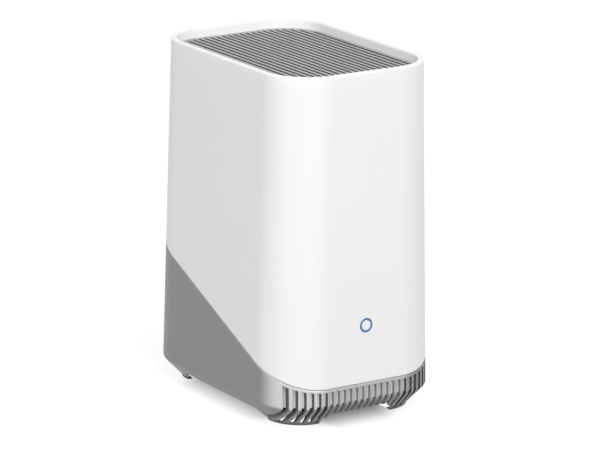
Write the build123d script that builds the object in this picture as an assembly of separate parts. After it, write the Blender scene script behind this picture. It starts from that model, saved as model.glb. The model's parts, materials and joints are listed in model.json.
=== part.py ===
"""Security camera base station: a tall rounded box with a white upper shell on a comb-slotted grey base.

The origin is the middle of the footprint on the floor. +Z is up, -Y is the front with the status ring,
and +X is to the right as seen from the front. Lengths are in millimetres.
"""
from build123d import *
from math import floor, radians, tan
import os

# Outline of the body, which is widest at the bend just above the feet
height = 178.0
width = 98.0
depth = 133.5
corner_radius = 27.0
side_lean = 4.4
end_lean = 2.25
corner_lean = 2.6
bend_height = 10.7
undercut = 10.4
bend_fillet = 3.0
rim_fillet = 0.8

# Sloping line where the white upper shell meets the grey base
parting_front = 20.1
parting_slope_share = 0.43
parting_gap = 0.15

# Walls, and the skirt of the upper shell that reaches down inside the base
shell_wall = 3.0
base_wall = 2.0
skirt_clearance = 0.15
skirt_thickness = 1.6
skirt_depth = 14.0
skirt_above_bend = 0.6

# Belly plate and the four corner feet
belly_height = 5.3
belly_thickness = 2.2
foot_wall = 2.6
foot_gap_side = 20.7
foot_gap_end = 38.0
foot_end_slope = 3.6
pad_thickness = 0.8
foot_rim = 1.0

# Comb of upright slots round the front of the base
slot_pitch = 3.62
slot_width = 2.1
slot_side_margin = 7.0
slot_below_parting = 1.5

# Slatted grille, sunk into the rim
grille_recess = 4.6
grille_thickness = 2.0
grille_clearance = 0.2
grille_border = 2.0
grille_pitch = 3.52
grille_gap = 1.6
grille_rib_height = 2.5
grille_rib_width = 1.4
grille_rib_spread = 76.0
grille_ledge_width = 2.4
grille_ledge_thickness = 2.0

# Corner posts and the long screws that hold the two housings together
post_reach = 8.0
post_drop = 8.0
post_radius = 4.4
post_land = 5.0
shell_post_radius = 3.4
shell_post_length = 30.0
post_rib = 1.6
small_rod_sides = 12
screw_shank = 1.1
screw_length = 14.0
screw_head_radius = 2.5
screw_head_height = 1.8
screw_clearance = 0.5
thread_clearance = 0.05

# Status ring on the front face
ring_height = 50.05
ring_radius = 3.7
ring_stroke = 1.1
ring_clearance = 0.05
ring_depth = 4.0
ring_flange_radius = 5.4
ring_flange_thickness = 1.0
ring_flange_gap = 0.25
led_size = 1.4
led_height = 0.7
led_gap = 0.1
led_board_width = 24.0
led_board_height = 14.0
led_board_thickness = 1.0
led_post_radius = 2.2
led_post_spread = 17.0
led_screw_length = 4.4

# Storage drive, upright in its bay
drive_thickness = 9.5
drive_width = 69.85
drive_length = 100.45
drive_corner = 2.0
drive_lid_inset = 3.0
drive_lid_height = 0.4
drive_connector_width = 33.0
drive_connector_depth = 4.6
drive_connector_thickness = 3.4

# Tray that carries the drive, and its cover in the belly
tray_wall = 1.2
tray_clearance = 0.3
drive_clearance = 0.2
tray_window_share = 0.62
cover_overlap = 3.0
cover_tab = 10.0
cover_corner = 3.0
cover_gap = 0.35
cover_lift = 0.1
cover_screw_inset = 4.5
tray_screw_clearance = 0.1
drive_screw_spacing = 76.6
drive_screw_inset = 14.0
drive_screw_shank = 1.4
drive_screw_head = 2.4
drive_screw_head_height = 0.8
drive_screw_length = 3.0

# Drive bay that stands on the belly plate
bay_wall = 1.5
bay_shift = -4.0
bay_foot_height = 4.0
bay_flange_reach = 8.0
bay_flange_width = 12.0
bay_flange_thickness = 2.0
bay_flange_spread = 46.0
bay_boss_radius = 3.0
bay_screw_length = 5.5
lug_length = 8.0
lug_height = 7.0
bay_window_share = 0.5

# Connector board above the drive
sata_board_thickness = 1.6
sata_socket_height = 5.0
sata_socket_gap = 0.3
sata_socket_wrap = 2.5
sata_board_length = 60.0
bridge_length = 30.0
bridge_height = 6.0

# Main board, upright beside the bay
main_board_gap = 5.6
main_board_thickness = 1.6
main_board_length = 80.0
main_board_foot = 10.5
standoff_radius = 2.6
standoff_inset = 5.0
board_screw_length = 5.0
board_screw_shank = 1.0
board_screw_head = 2.0
board_screw_head_height = 1.2

# Parts on the main board
processor_size = 17.0
processor_height = 1.2
memory_length = 11.0
memory_width = 8.0
memory_height = 0.9
memory_spread = 26.0
thermal_pad_thickness = 0.8
sink_length = 46.0
sink_height = 58.0
sink_base = 2.0
sink_fin_height = 8.0
sink_fin_thickness = 1.2
sink_fin_pitch = 4.4
sink_foot_radius = 2.2
sink_rise = 4.0
shield_length = 26.0
shield_width = 20.0
shield_height = 2.4
shield_wall = 0.25
shield_corner = 1.2
shield_edge = 3.0

# Rear board with the sockets and the two switches
port_depth = 13.5
port_recess = 0.6
port_gap = 0.25
port_height = 28.0
rear_board_width = 54.0
rear_board_low = 17.0
rear_board_high = 60.0
rear_board_thickness = 1.6
rear_post_radius = 2.5
rear_post_inset = 3.2

# Network socket
ethernet_width = 16.0
ethernet_height = 13.4
ethernet_cavity_width = 11.9
ethernet_cavity_height = 6.8
ethernet_key_width = 6.2
ethernet_key_height = 3.0
ethernet_cavity_depth = 11.6
ethernet_contact_count = 8
ethernet_contact_width = 0.5
ethernet_contact_pitch = 1.02
ethernet_contact_height = 0.4

# Data socket, standing on edge
usb_place = 15.6
usb_width = 7.0
usb_height = 14.4
usb_wall = 0.5
usb_tongue_thickness = 1.8
usb_tongue_edge = 0.9
usb_cavity_depth = 11.0

# Power inlet
power_place = -16.4
power_width = 9.6
power_height = 11.0
power_bore = 3.0
power_bore_depth = 10.0
power_pin_radius = 1.05
power_pin_tip = 0.8

# Sync button and its switch
button_height = 50.0
button_radius = 5.2
button_proud = 0.5
button_gap = 0.2
button_travel = 0.5
button_flange = 1.0
button_flange_thickness = 1.0
button_flange_gap = 0.3
button_wall = 1.2
button_dish = 0.4
stem_radius = 1.6
switch_size = 6.2
switch_height = 3.4
plunger_radius = 1.5
plunger_gap = 0.1
plunger_above = 1.0
plunger_inside = 1.4
plunger_room = 0.3

# Reset switch behind its pinhole
reset_place = 13.0
pinhole_radius = 0.8
reset_travel = 0.3

# Speaker hung under the grille
speaker_length = 50.0
speaker_width = 36.0
speaker_height = 15.0
speaker_wall = 1.4
speaker_corner = 4.0
speaker_ear = 4.0
speaker_ear_thickness = 2.0
speaker_screw_length = 4.4
speaker_boss_radius = 2.5
driver_radius = 16.0
driver_flange = 1.0
driver_rim = 1.6
driver_depth = 8.0
driver_magnet_radius = 8.0
driver_magnet_height = 4.0
driver_cone_wall = 0.5
driver_cap_radius = 5.0

# Antenna strips inside the upper shell, with their leads and plugs
antenna_thickness = 0.6
antenna_length = 46.0
antenna_width = 11.0
antenna_bond = 0.1
antenna_below_rim = 50.0
antenna_spread = 44.0
lead_radius = 0.6
lead_sides = 8
lead_bend_share = 0.45
lead_inset = 5.0
lead_straight = 5.5
lead_bow = 2.2
lead_shelf = 0.15
lead_plug_radius = 1.5
lead_plug_height = 1.4
lead_plug_below_edge = 10.0
lead_plug_inset = 2.5
lead_plug_spread = 4.5

# Lead of the speaker and its plug on the main board
speaker_lead_place = -15.0
speaker_lead_sway = 2.0
speaker_plug_length = 5.0
speaker_plug_width = 4.0
speaker_plug_height = 3.4
speaker_plug_below_edge = 5.0

# Flat cables between the boards, and their sockets
flat_cable_thickness = 0.3
flat_cable_width = 4.4
flat_cable_bend = 2.5
flat_cable_level = 42.0
flat_slit_clearance = 0.05
flat_socket_length = 4.0
flat_socket_height = 1.2
flat_socket_side = 0.3
flat_socket_inset = 4.0
led_socket_place = 2.0
rear_socket_place = 5.0

# How far a cutting tool runs past what it cuts
overrun = 1.0

# Worked out from the sizes above
belly_top = belly_height + belly_thickness
skirt_inset = base_wall + skirt_clearance
rib_inset = (skirt_inset + shell_wall) / 2
skirt_floor = bend_height + skirt_above_bend
corner_x = width / 2 - corner_radius
corner_y = depth / 2 - corner_radius
post_x = corner_x + post_reach / 2 ** 0.5
post_y = corner_y + post_reach / 2 ** 0.5
grille_top = height - grille_recess
grille_bottom = grille_top - grille_thickness
tray_outer_width = drive_width + 2 * (drive_clearance + tray_wall)
tray_outer_thickness = drive_thickness + drive_clearance + tray_wall
bay_inner_width = tray_outer_width + 2 * tray_clearance
bay_inner_thickness = tray_outer_thickness + 2 * tray_clearance
bay_outer_width = bay_inner_width + 2 * bay_wall
bay_outer_thickness = bay_inner_thickness + 2 * bay_wall
bay_front = bay_shift - bay_outer_width / 2
bay_back = bay_shift + bay_outer_width / 2
bay_side = bay_outer_thickness / 2
bay_bottom = belly_top + bay_foot_height
cover_top = belly_top
drive_low = cover_top + tray_wall
drive_high = drive_low + drive_length
drive_x = (tray_outer_thickness - drive_thickness) / 2
sata_socket_low = drive_high + sata_socket_gap
sata_board_low = sata_socket_low + sata_socket_height
bay_top = sata_board_low
board_x = bay_side + main_board_gap
board_face = board_x + main_board_thickness
board_low = belly_top + main_board_foot
board_front = bay_shift - main_board_length / 2
board_back = bay_shift + main_board_length / 2
board_high = sata_board_low - sata_socket_gap
port_rise = (port_height - bend_height) / (height - bend_height)
rear_board_y = depth / 2 - end_lean * port_rise - port_recess - port_depth
cable_lane = board_face + flat_socket_height / 2
led_cable_level = ring_height - led_board_height / 2 + flat_cable_width / 2 + flat_socket_side
antenna_high = height - antenna_below_rim
antenna_low = antenna_high - antenna_width
lead_lane = board_face + lead_plug_height / 2
screw_sides = ((-1, -1), (1, -1), (-1, 1), (1, 1))


def parting_level(y):
    """Height of the parting line at a place along the depth."""
    return parting_front + parting_slope_share * (y + depth / 2)


def lean_at(level):
    """Share of the full lean that the walls have reached at a level."""
    return (level - bend_height) / (height - bend_height)


def section(level, inset):
    """Outline of the body at a level, drawn in by an inset."""
    if level >= bend_height:
        rise = lean_at(level)
        side, end, corner = side_lean * rise, end_lean * rise, corner_lean * rise
    else:
        side = end = corner = undercut * (bend_height - level) / bend_height
    outline = RectangleRounded(
        width - 2 * (side + inset), depth - 2 * (end + inset), corner_radius - corner - inset
    )
    return Plane.XY.offset(level) * outline


def body(low, high, inset):
    """Solid between two levels inside the body's outline, drawn in by an inset."""
    levels = [low, high]
    if low < bend_height < high:
        levels = [low, bend_height, high]
    return loft([section(level, inset) for level in levels], ruled=True)


def rounded_body():
    """Whole outside form, with the rounded bend and the small round on the rim."""
    form = body(pad_thickness, height, 0)
    bend = [edge for edge in form.edges() if abs(edge.center().Z - bend_height) < rim_fillet]
    form = fillet(bend, bend_fillet)
    rim = [edge for edge in form.edges() if abs(edge.center().Z - height) < rim_fillet / 2]
    return fillet(rim, rim_fillet)


def below_parting(drop):
    """Everything under the sloping parting surface, lowered by a drop."""
    points = [
        (-depth, -height),
        (depth, -height),
        (depth, parting_level(depth) - drop),
        (-depth, parting_level(-depth) - drop),
    ]
    face = make_face(Polyline(*points, close=True))
    return extrude(Plane.YZ * face, amount=width, both=True)


def block(x, y, z):
    """Box between two limits on each axis."""
    size = (x[1] - x[0], y[1] - y[0], z[1] - z[0])
    middle = ((x[0] + x[1]) / 2, (y[0] + y[1]) / 2, (z[0] + z[1]) / 2)
    return Pos(*middle) * Box(*size)


def rod(radius, start, axis, length):
    """Cylinder that starts at a point and runs along an axis."""
    turn = {"x": Rot(0, 90, 0), "y": Rot(-90, 0, 0), "z": Rot(0, 0, 0)}[axis]
    bottom = (Align.CENTER, Align.CENTER, Align.MIN)
    return Pos(*start) * turn * Cylinder(radius, length, align=bottom)


def small_rod(radius, start, axis, length):
    """Screw, peg, boss or screw hole: a bar with enough flat sides to pass for round at its size."""
    turn = {"x": Rot(0, 90, 0), "y": Rot(-90, 0, 0), "z": Rot(0, 0, 0)}[axis]
    return Pos(*start) * turn * extrude(RegularPolygon(radius, small_rod_sides), amount=length)


def front_face(level):
    """Place of the outer front face at a level."""
    return -(depth / 2 - end_lean * lean_at(level))


def rear_face(level):
    """Place of the outer rear face at a level."""
    return depth / 2 - end_lean * lean_at(level)


def foot_gaps():
    """Cuts that leave four corner feet under the belly."""
    low, top = -overrun, belly_height
    slope = foot_end_slope * (top - low) / (top - pad_thickness)

    def gap(half):
        points = [(-half - slope, low), (half + slope, low), (half, top), (-half, top)]
        return make_face(Polyline(*points, close=True))

    across = extrude(Plane.YZ * gap(foot_gap_end - foot_end_slope), amount=width, both=True)
    along = extrude(Plane.XZ * gap(foot_gap_side - foot_end_slope), amount=depth, both=True)
    return across + along


def slot_places():
    """Places of the slots across the front, as many as the width has room for."""
    per_side = floor((width / 2 - slot_side_margin) / slot_pitch + 0.5)
    return [(index - per_side + 0.5) * slot_pitch for index in range(2 * per_side)]


def front_slots():
    """Comb of cutters that run straight back through the front wall, its cone and the front feet."""
    low = pad_thickness + foot_rim
    comb = [
        block((x - slot_width / 2, x + slot_width / 2), (-depth, -corner_y), (low, height))
        for x in slot_places()
    ]
    comb = Part() + comb
    core = body(pad_thickness, height, foot_wall + overrun / 4)
    upper = body(belly_top, height, base_wall + skirt_clearance / 2)
    comb = comb & below_parting(slot_below_parting)
    return comb - core - upper


def corner_posts(radius, levels):
    """Four upright posts, with a bottom and a top level for the front pair and the rear pair."""
    posts = []
    for side, end in screw_sides:
        low, high = levels[end]
        posts.append(rod(radius, (side * post_x, end * post_y, low), "z", high - low))
    return posts


def corner_ribs(levels, inset):
    """Ribs from the corner posts out to the corner of the wall."""
    ribs = []
    limit = body(belly_height, height, inset)
    for side, end in screw_sides:
        low, high = levels[end]
        outward = {(1, 1): 45, (-1, 1): 135, (-1, -1): 225, (1, -1): 315}[(side, end)]
        start = (Align.MIN, Align.CENTER, Align.MIN)
        rib = Box(corner_radius, post_rib, high - low, align=start)
        ribs.append(Pos(side * post_x, end * post_y, low) * Rot(0, 0, outward) * rib & limit)
    return ribs


def joint_level(end):
    """Height where a base post meets the post of the upper shell."""
    return parting_level(end * post_y) - post_drop


def upper_shell(form):
    """White upper shell, with its skirt, grille ledge, corner posts and board posts."""
    wall = form - below_parting(-parting_gap) - body(belly_top, height + overrun, shell_wall)
    skirt = body(skirt_floor, height, skirt_inset) - body(skirt_floor, height, skirt_inset + skirt_thickness)
    skirt = skirt & below_parting(-shell_wall) - below_parting(skirt_depth)
    ledge_low = grille_bottom - grille_ledge_thickness
    ledge = body(ledge_low, grille_bottom, shell_wall / 2)
    ledge = ledge - body(ledge_low, grille_bottom, shell_wall + grille_ledge_width)
    levels = {
        end: (joint_level(end) + parting_gap, joint_level(end) + shell_post_length) for end in (-1, 1)
    }
    shell = wall + skirt + ledge
    shell = shell + corner_posts(shell_post_radius, levels) + corner_ribs(levels, rib_inset)
    for side, end in screw_sides:
        start = (side * post_x, end * post_y, joint_level(end) - overrun)
        shell = shell - small_rod(screw_shank + thread_clearance, start, "z", screw_length + overrun)
    board_y = led_board_front()
    for side in (-1, 1):
        start = (side * led_post_spread / 2, front_face(ring_height) + shell_wall / 2, ring_height)
        shell = shell + small_rod(led_post_radius, start, "y", board_y - start[1])
        depth_of_hole = led_screw_length - led_board_thickness + thread_clearance
        shell = shell - small_rod(
            board_screw_shank + thread_clearance,
            (start[0], board_y - depth_of_hole, ring_height),
            "y",
            depth_of_hole + overrun,
        )
    ring_hole = rod(ring_radius + ring_clearance, (0, -depth, ring_height), "y", depth / 2 + ring_depth)
    return shell - ring_hole


def base_housing(form):
    """Grey base: sloping wall, belly plate, hollow corner feet and the comb of slots."""
    base = form & below_parting(0)
    base = base - body(belly_top, height, base_wall)
    base = base - body(0, belly_height, foot_wall) - foot_gaps()
    post_levels = {end: (belly_height, joint_level(end)) for end in (-1, 1)}
    rib_levels = {}
    for end in (-1, 1):
        skirt_low = parting_level(end * post_y) - skirt_depth
        skirt_low_out = parting_level(end * (corner_y + corner_radius / 2 ** 0.5)) - skirt_depth
        top = max(skirt_floor, min(skirt_low, skirt_low_out)) - skirt_above_bend
        rib_levels[end] = (belly_height, top)
    base = base + corner_posts(post_radius, post_levels) + corner_ribs(rib_levels, base_wall / 2)
    for side, end in screw_sides:
        x, y, level = side * post_x, end * post_y, joint_level(end)
        base = base - rod(screw_shank + screw_clearance, (x, y, 0), "z", level + overrun)
        base = base - rod(screw_head_radius + screw_clearance, (x, y, 0), "z", level - post_land)
    base = base - front_slots()
    base = base + rear_board_posts() + bay_bosses()
    base = base - cover_opening()
    for hole in rear_board_screw_holes() + bay_screw_holes() + port_openings():
        base = base - hole
    return base


def foot_pads():
    """Thin rubber strips under the walls of the four feet."""
    ring = section(pad_thickness, 0) - section(pad_thickness, foot_wall)
    return extrude(ring, amount=-pad_thickness) - foot_gaps()


def led_board_front():
    """Place of the front face of the small board behind the status ring."""
    return front_face(ring_height) + shell_wall + ring_depth + led_gap + led_height


def top_grille():
    """Slatted grille with its border, cross ribs and speaker bosses."""
    plate = body(grille_bottom, grille_top, shell_wall + grille_clearance)
    rim_half = width / 2 - side_lean - shell_wall - grille_clearance - grille_border
    per_side = floor(rim_half / grille_pitch)
    gaps = [
        block(
            (n * grille_pitch - grille_gap / 2, n * grille_pitch + grille_gap / 2),
            (-depth, depth),
            (grille_bottom - overrun, grille_top + overrun),
        )
        for n in range(-per_side, per_side + 1)
    ]
    inside = body(grille_bottom - overrun, grille_top, shell_wall + grille_clearance + grille_border)
    inside = inside + Pos(0, 0, overrun) * inside
    grille = plate - (Part() + gaps & inside)
    rib_low = grille_bottom - grille_rib_height
    for side in (-1, 1):
        y = side * grille_rib_spread / 2
        rib = block(
            (-width, width), (y - grille_rib_width / 2, y + grille_rib_width / 2), (rib_low, grille_bottom)
        )
        limit = body(rib_low, grille_bottom, shell_wall + grille_ledge_width + grille_clearance)
        grille = grille + (rib & limit)
    for side in (-1, 1):
        x = side * speaker_screw_x()
        grille = grille + small_rod(speaker_boss_radius, (x, 0, rib_low), "z", grille_rib_height)
        grille = grille - small_rod(
            board_screw_shank + thread_clearance,
            (x, 0, rib_low - overrun),
            "z",
            overrun + grille_rib_height + grille_thickness / 2,
        )
    return grille


def status_ring(form):
    """Clear ring that carries the light from the board to the front face."""
    face = front_face(ring_height)
    back = face + shell_wall + ring_depth
    start = (0, face - overrun, ring_height)
    length = back - start[1]
    ring = rod(ring_radius, start, "y", length) - rod(ring_radius - ring_stroke, start, "y", length)
    flange_start = (0, face + shell_wall + ring_flange_gap, ring_height)
    flange = rod(ring_flange_radius, flange_start, "y", ring_flange_thickness)
    flange = flange - rod(ring_radius - ring_stroke, flange_start, "y", ring_flange_thickness)
    return ring + flange & form


def ring_plug(form):
    """White plug that fills the middle of the ring, flush with the front face."""
    face = front_face(ring_height)
    start = (0, face - overrun, ring_height)
    radius = ring_radius - ring_stroke - ring_clearance
    return rod(radius, start, "y", overrun + shell_wall + ring_depth / 2) & form


def led_board():
    """Small board behind the ring."""
    y = led_board_front()
    half, tall = led_board_width / 2, led_board_height / 2
    board = block((-half, half), (y, y + led_board_thickness), (ring_height - tall, ring_height + tall))
    for side in (-1, 1):
        start = (side * led_post_spread / 2, y - overrun, ring_height)
        board = board - small_rod(
            board_screw_shank + screw_clearance / 2, start, "y", led_board_thickness + 2 * overrun
        )
    return board


def led_screws():
    """Two screws that hold the small board to its posts."""
    y = led_board_front() + led_board_thickness
    return [
        Pos(side * led_post_spread / 2, y, ring_height) * Rot(-90, 0, 0) * small_screw(led_screw_length)
        for side in (-1, 1)
    ]


def status_leds():
    """Four lamps on the small board, behind the stroke of the ring."""
    y = led_board_front()
    reach = ring_radius - ring_stroke / 2
    half = led_size / 2
    lamps = []
    for x, z in ((-reach, 0), (reach, 0), (0, -reach), (0, reach)):
        lamps.append(
            block((x - half, x + half), (y - led_height, y), (ring_height + z - half, ring_height + z + half))
        )
    return lamps


def screw(shank, length, head_radius, head_height):
    """Plain screw that points down, with the underside of its head at the origin."""
    head = small_rod(head_radius, (0, 0, 0), "z", head_height)
    return head + small_rod(shank, (0, 0, -length), "z", length)


def small_screw(length):
    """Screw for the boards and the speaker."""
    return screw(board_screw_shank, length, board_screw_head, board_screw_head_height)


def housing_screws():
    """Four long screws, driven up from the belly through the base posts."""
    screws = []
    for side, end in screw_sides:
        place = Pos(side * post_x, end * post_y, joint_level(end) - post_land)
        long_screw = screw(screw_shank, screw_length, screw_head_radius, screw_head_height)
        screws.append(place * Rot(180, 0, 0) * long_screw)
    return screws


def cover_limits():
    """Limits of the tray cover across and along the belly."""
    return (
        (-bay_side - cover_overlap, bay_side + cover_overlap),
        (bay_front - cover_overlap, bay_back + cover_tab),
    )


def cover_outline(growth):
    """Rounded outline of the tray cover, grown by a gap."""
    (x0, x1), (y0, y1) = cover_limits()
    outline = RectangleRounded(x1 - x0 + 2 * growth, y1 - y0 + 2 * growth, cover_corner + growth)
    return Pos((x0 + x1) / 2, (y0 + y1) / 2, 0) * outline


def cover_opening():
    """Opening in the belly plate that the tray and its cover go through."""
    return extrude(cover_outline(cover_gap), amount=belly_top + overrun)


def cover_screw_place():
    """Place of the captive screw in the tab of the cover."""
    return bay_back + cover_tab - cover_screw_inset


def tray_cover():
    """Cover plate, flush with the underside of the belly."""
    plate = Pos(0, 0, belly_height) * extrude(cover_outline(0), amount=belly_thickness - cover_lift)
    y = cover_screw_place()
    hole = small_rod(screw_shank + screw_clearance / 2, (0, y, 0), "z", height)
    seat = rod(screw_head_radius + screw_clearance / 2, (0, y, 0), "z", belly_height + belly_thickness / 2)
    return plate - hole - seat


def tray_screw():
    """Captive screw, flush in the cover and held by the lug of the bay."""
    top = belly_height + belly_thickness / 2
    place = Pos(0, cover_screw_place(), top)
    head_height = belly_thickness / 2
    return place * Rot(180, 0, 0) * screw(screw_shank, lug_height, screw_head_radius, head_height)


def drive_tray():
    """Tray: a windowed plate with a floor and two side rails round the drive."""
    back = -tray_outer_thickness / 2
    low, high = cover_top - cover_lift, drive_high
    half = tray_outer_width / 2
    y0, y1 = bay_shift - half, bay_shift + half
    tray = block((back, back + tray_wall), (y0, y1), (low, high))
    tray = tray + block((back, -back), (y0, y1), (low, drive_low - drive_clearance))
    for edge in ((y0, y0 + tray_wall), (y1 - tray_wall, y1)):
        tray = tray + block((back, -back), edge, (low, high))
    window_half = drive_width * tray_window_share / 2
    window_tall = drive_length * tray_window_share / 2
    middle = (drive_low + drive_high) / 2
    window = block(
        (back - overrun, back + tray_wall + overrun),
        (bay_shift - window_half, bay_shift + window_half),
        (middle - window_tall, middle + window_tall),
    )
    tray = tray - fillet(window.edges().filter_by(Axis.X), drive_corner)
    for y, z in drive_screw_places():
        outward = 1 if y > bay_shift else -1
        through = tray_wall + 2 * overrun
        hole_start = (drive_x, y - through, z)
        tray = tray - small_rod(drive_screw_shank + thread_clearance, hole_start, "y", 2 * through)
        seat_half = drive_screw_head_height + overrun / 2
        seat_start = (drive_x, y + outward * overrun / 2 - seat_half, z)
        tray = tray - small_rod(drive_screw_head + thread_clearance, seat_start, "y", 2 * seat_half)
    return tray


def drive_screw_places():
    """Places of the four side screws of the drive."""
    half = drive_width / 2 + drive_clearance + tray_wall
    return [
        (bay_shift + side * half, drive_low + drive_screw_inset + rise * drive_screw_spacing)
        for side in (-1, 1)
        for rise in (0, 1)
    ]


def storage_drive():
    """Thin storage drive with its raised lid and the connector recess at its top end."""
    x0, x1 = drive_x - drive_thickness / 2 + drive_clearance / 2, drive_x + drive_thickness / 2
    half = drive_width / 2
    drive = block((x0, x1 - drive_lid_height), (bay_shift - half, bay_shift + half), (drive_low, drive_high))
    drive = fillet(drive.edges().filter_by(Axis.X), drive_corner)
    lid = block(
        (x0, x1),
        (bay_shift - half + drive_lid_inset, bay_shift + half - drive_lid_inset),
        (drive_low + drive_lid_inset, drive_high - drive_lid_inset - drive_connector_depth),
    )
    drive = drive + fillet(lid.edges().filter_by(Axis.X), drive_corner)
    slot_half = drive_connector_width / 2
    recess = block(
        (x0 - overrun, x0 + drive_connector_thickness),
        (bay_shift - slot_half, bay_shift + slot_half),
        (drive_high - drive_connector_depth, drive_high + overrun),
    )
    drive = drive - recess
    for y, z in drive_screw_places():
        inward = 1 if y < bay_shift else -1
        deep = drive_screw_length + thread_clearance
        start = (drive_x, bay_shift - inward * half - deep, z)
        drive = drive - small_rod(drive_screw_shank + thread_clearance, start, "y", 2 * deep)
    return drive


def drive_screws():
    """Four flat screws through the tray rails into the sides of the drive."""
    screws = []
    for y, z in drive_screw_places():
        turn = -90 if y > bay_shift else 90
        sink = drive_screw_head_height if y > bay_shift else -drive_screw_head_height
        body_screw = screw(
            drive_screw_shank, drive_screw_length, drive_screw_head, drive_screw_head_height
        )
        screws.append(Pos(drive_x, y - sink, z) * Rot(turn, 0, 0) * body_screw)
    return screws


def bay_boss_places():
    """Places of the four bosses under the flanges of the bay."""
    x = bay_side + bay_flange_reach - bay_boss_radius - bay_wall / 2
    half = bay_flange_spread / 2
    return [(side * x, bay_shift + end * half) for side in (-1, 1) for end in (-1, 1)]


def bay_bosses():
    """Four bosses on the belly plate that carry the drive bay."""
    low = belly_height + belly_thickness / 2
    return [rod(bay_boss_radius, (x, y, low), "z", bay_bottom - low) for x, y in bay_boss_places()]


def bay_screw_holes():
    """Pilot holes in the bay bosses."""
    depth_of_hole = bay_screw_length - bay_flange_thickness + thread_clearance
    low = bay_bottom - depth_of_hole
    return [
        rod(board_screw_shank + thread_clearance, (x, y, low), "z", depth_of_hole + overrun)
        for x, y in bay_boss_places()
    ]


def drive_bay():
    """Open tube for the tray, with flanges on the bosses, a lug for the captive screw and side windows."""
    outer, inner = bay_side, bay_inner_thickness / 2
    low = belly_top + cover_lift
    bay = block((-outer, outer), (bay_front, bay_back), (low, bay_top))
    bay = bay - block(
        (-inner, inner), (bay_front + bay_wall, bay_back - bay_wall), (low - overrun, bay_top + overrun)
    )
    lug_half = screw_head_radius + bay_wall
    lug_run = (bay_back - bay_wall / 2, bay_back + lug_length)
    bay = bay + block((-lug_half, lug_half), lug_run, (low, low + lug_height))
    lug_start = (0, cover_screw_place(), low - overrun)
    bay = bay - small_rod(screw_shank + tray_screw_clearance, lug_start, "z", lug_height + 2 * overrun)
    for x, y in bay_boss_places():
        side = 1 if x > 0 else -1
        edges = sorted((side * (bay_side - bay_wall / 2), side * (bay_side + bay_flange_reach)))
        half = bay_flange_width / 2
        bay = bay + block(edges, (y - half, y + half), (bay_bottom, bay_bottom + bay_flange_thickness))
        start = (x, y, bay_bottom - overrun)
        bay = bay - small_rod(
            board_screw_shank + screw_clearance / 2, start, "z", bay_flange_thickness + 2 * overrun
        )
    half = bay_inner_width * bay_window_share / 2
    tall = drive_length * bay_window_share / 2
    middle = (drive_low + drive_high) / 2
    window = block((-width, width), (bay_shift - half, bay_shift + half), (middle - tall, middle + tall))
    bay = bay - fillet(window.edges().filter_by(Axis.X), drive_corner)
    for y, z in standoff_places():
        bay = bay + small_rod(standoff_radius, (bay_side - bay_wall / 2, y, z), "x", main_board_gap + bay_wall / 2)
        bay = bay - small_rod(
            board_screw_shank + thread_clearance,
            (board_x - board_screw_length + main_board_thickness - thread_clearance, y, z),
            "x",
            board_screw_length,
        )
    return bay


def bay_screws():
    """Four screws through the flanges of the bay."""
    top = bay_bottom + bay_flange_thickness
    return [Pos(x, y, top) * small_screw(bay_screw_length) for x, y in bay_boss_places()]


def standoff_places():
    """Places of the four standoffs that carry the main board."""
    low, high = board_low + standoff_inset, sata_board_low - bridge_height - 2 * standoff_inset
    return [
        (y, z)
        for y in (board_front + standoff_inset, board_back - standoff_inset)
        for z in (low, high)
    ]


def main_board():
    """Main circuit board, upright beside the drive bay."""
    board = block(
        (board_x, board_face), (board_front, board_back), (board_low, board_high)
    )
    for y, z in standoff_places() + sink_foot_places():
        start = (board_x - overrun, y, z)
        board = board - small_rod(
            board_screw_shank + screw_clearance / 2, start, "x", main_board_thickness + 2 * overrun
        )
    return board


def board_screws():
    """Four screws that hold the main board to its standoffs."""
    return [
        Pos(board_face, y, z) * Rot(0, 90, 0) * small_screw(board_screw_length)
        for y, z in standoff_places()
    ]


def processor_place():
    """Middle of the processor on the main board."""
    return bay_shift, board_low + sink_rise + sink_height / 2


def chips():
    """Processor and two memory chips on the outer face of the main board."""
    y, z = processor_place()
    half = processor_size / 2
    x = board_face
    found = [block((x, x + processor_height), (y - half, y + half), (z - half, z + half))]
    for side in (-1, 1):
        middle = z + side * memory_spread / 2 + side * memory_width / 2
        found.append(
            block(
                (x, x + memory_height),
                (y - memory_length / 2, y + memory_length / 2),
                (middle - memory_width / 2, middle + memory_width / 2),
            )
        )
    return found


def thermal_pad():
    """Soft pad between the processor and the heat sink."""
    y, z = processor_place()
    half = processor_size / 2
    x = board_face + processor_height
    return block((x, x + thermal_pad_thickness), (y - half, y + half), (z - half, z + half))


def sink_face():
    """Place of the inner face of the heat sink."""
    return board_face + processor_height + thermal_pad_thickness


def sink_foot_places():
    """Places of the two push pins of the heat sink."""
    y, z = processor_place()
    reach = sink_length / 2 - 2 * sink_foot_radius
    tall = sink_height / 2 - 2 * sink_foot_radius
    return [(y - reach, z - tall), (y + reach, z + tall)]


def heat_sink():
    """Finned heat sink over the processor."""
    y, z = processor_place()
    x = sink_face()
    half, tall = sink_length / 2, sink_height / 2
    sink = block((x, x + sink_base), (y - half, y + half), (z - tall, z + tall))
    count = floor((sink_length - sink_fin_thickness) / sink_fin_pitch)
    first = y - count * sink_fin_pitch / 2
    for index in range(count + 1):
        middle = first + index * sink_fin_pitch
        sink = sink + block(
            (x + sink_base, x + sink_base + sink_fin_height),
            (middle - sink_fin_thickness / 2, middle + sink_fin_thickness / 2),
            (z - tall, z + tall),
        )
    for place_y, place_z in sink_foot_places():
        seat = (x + sink_base, place_y, place_z)
        sink = sink - small_rod(sink_foot_radius + screw_clearance, seat, "x", sink_fin_height + overrun)
        start = (x - overrun, place_y, place_z)
        sink = sink - small_rod(
            board_screw_shank + screw_clearance / 2, start, "x", sink_base + 2 * overrun
        )
    return sink


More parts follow.
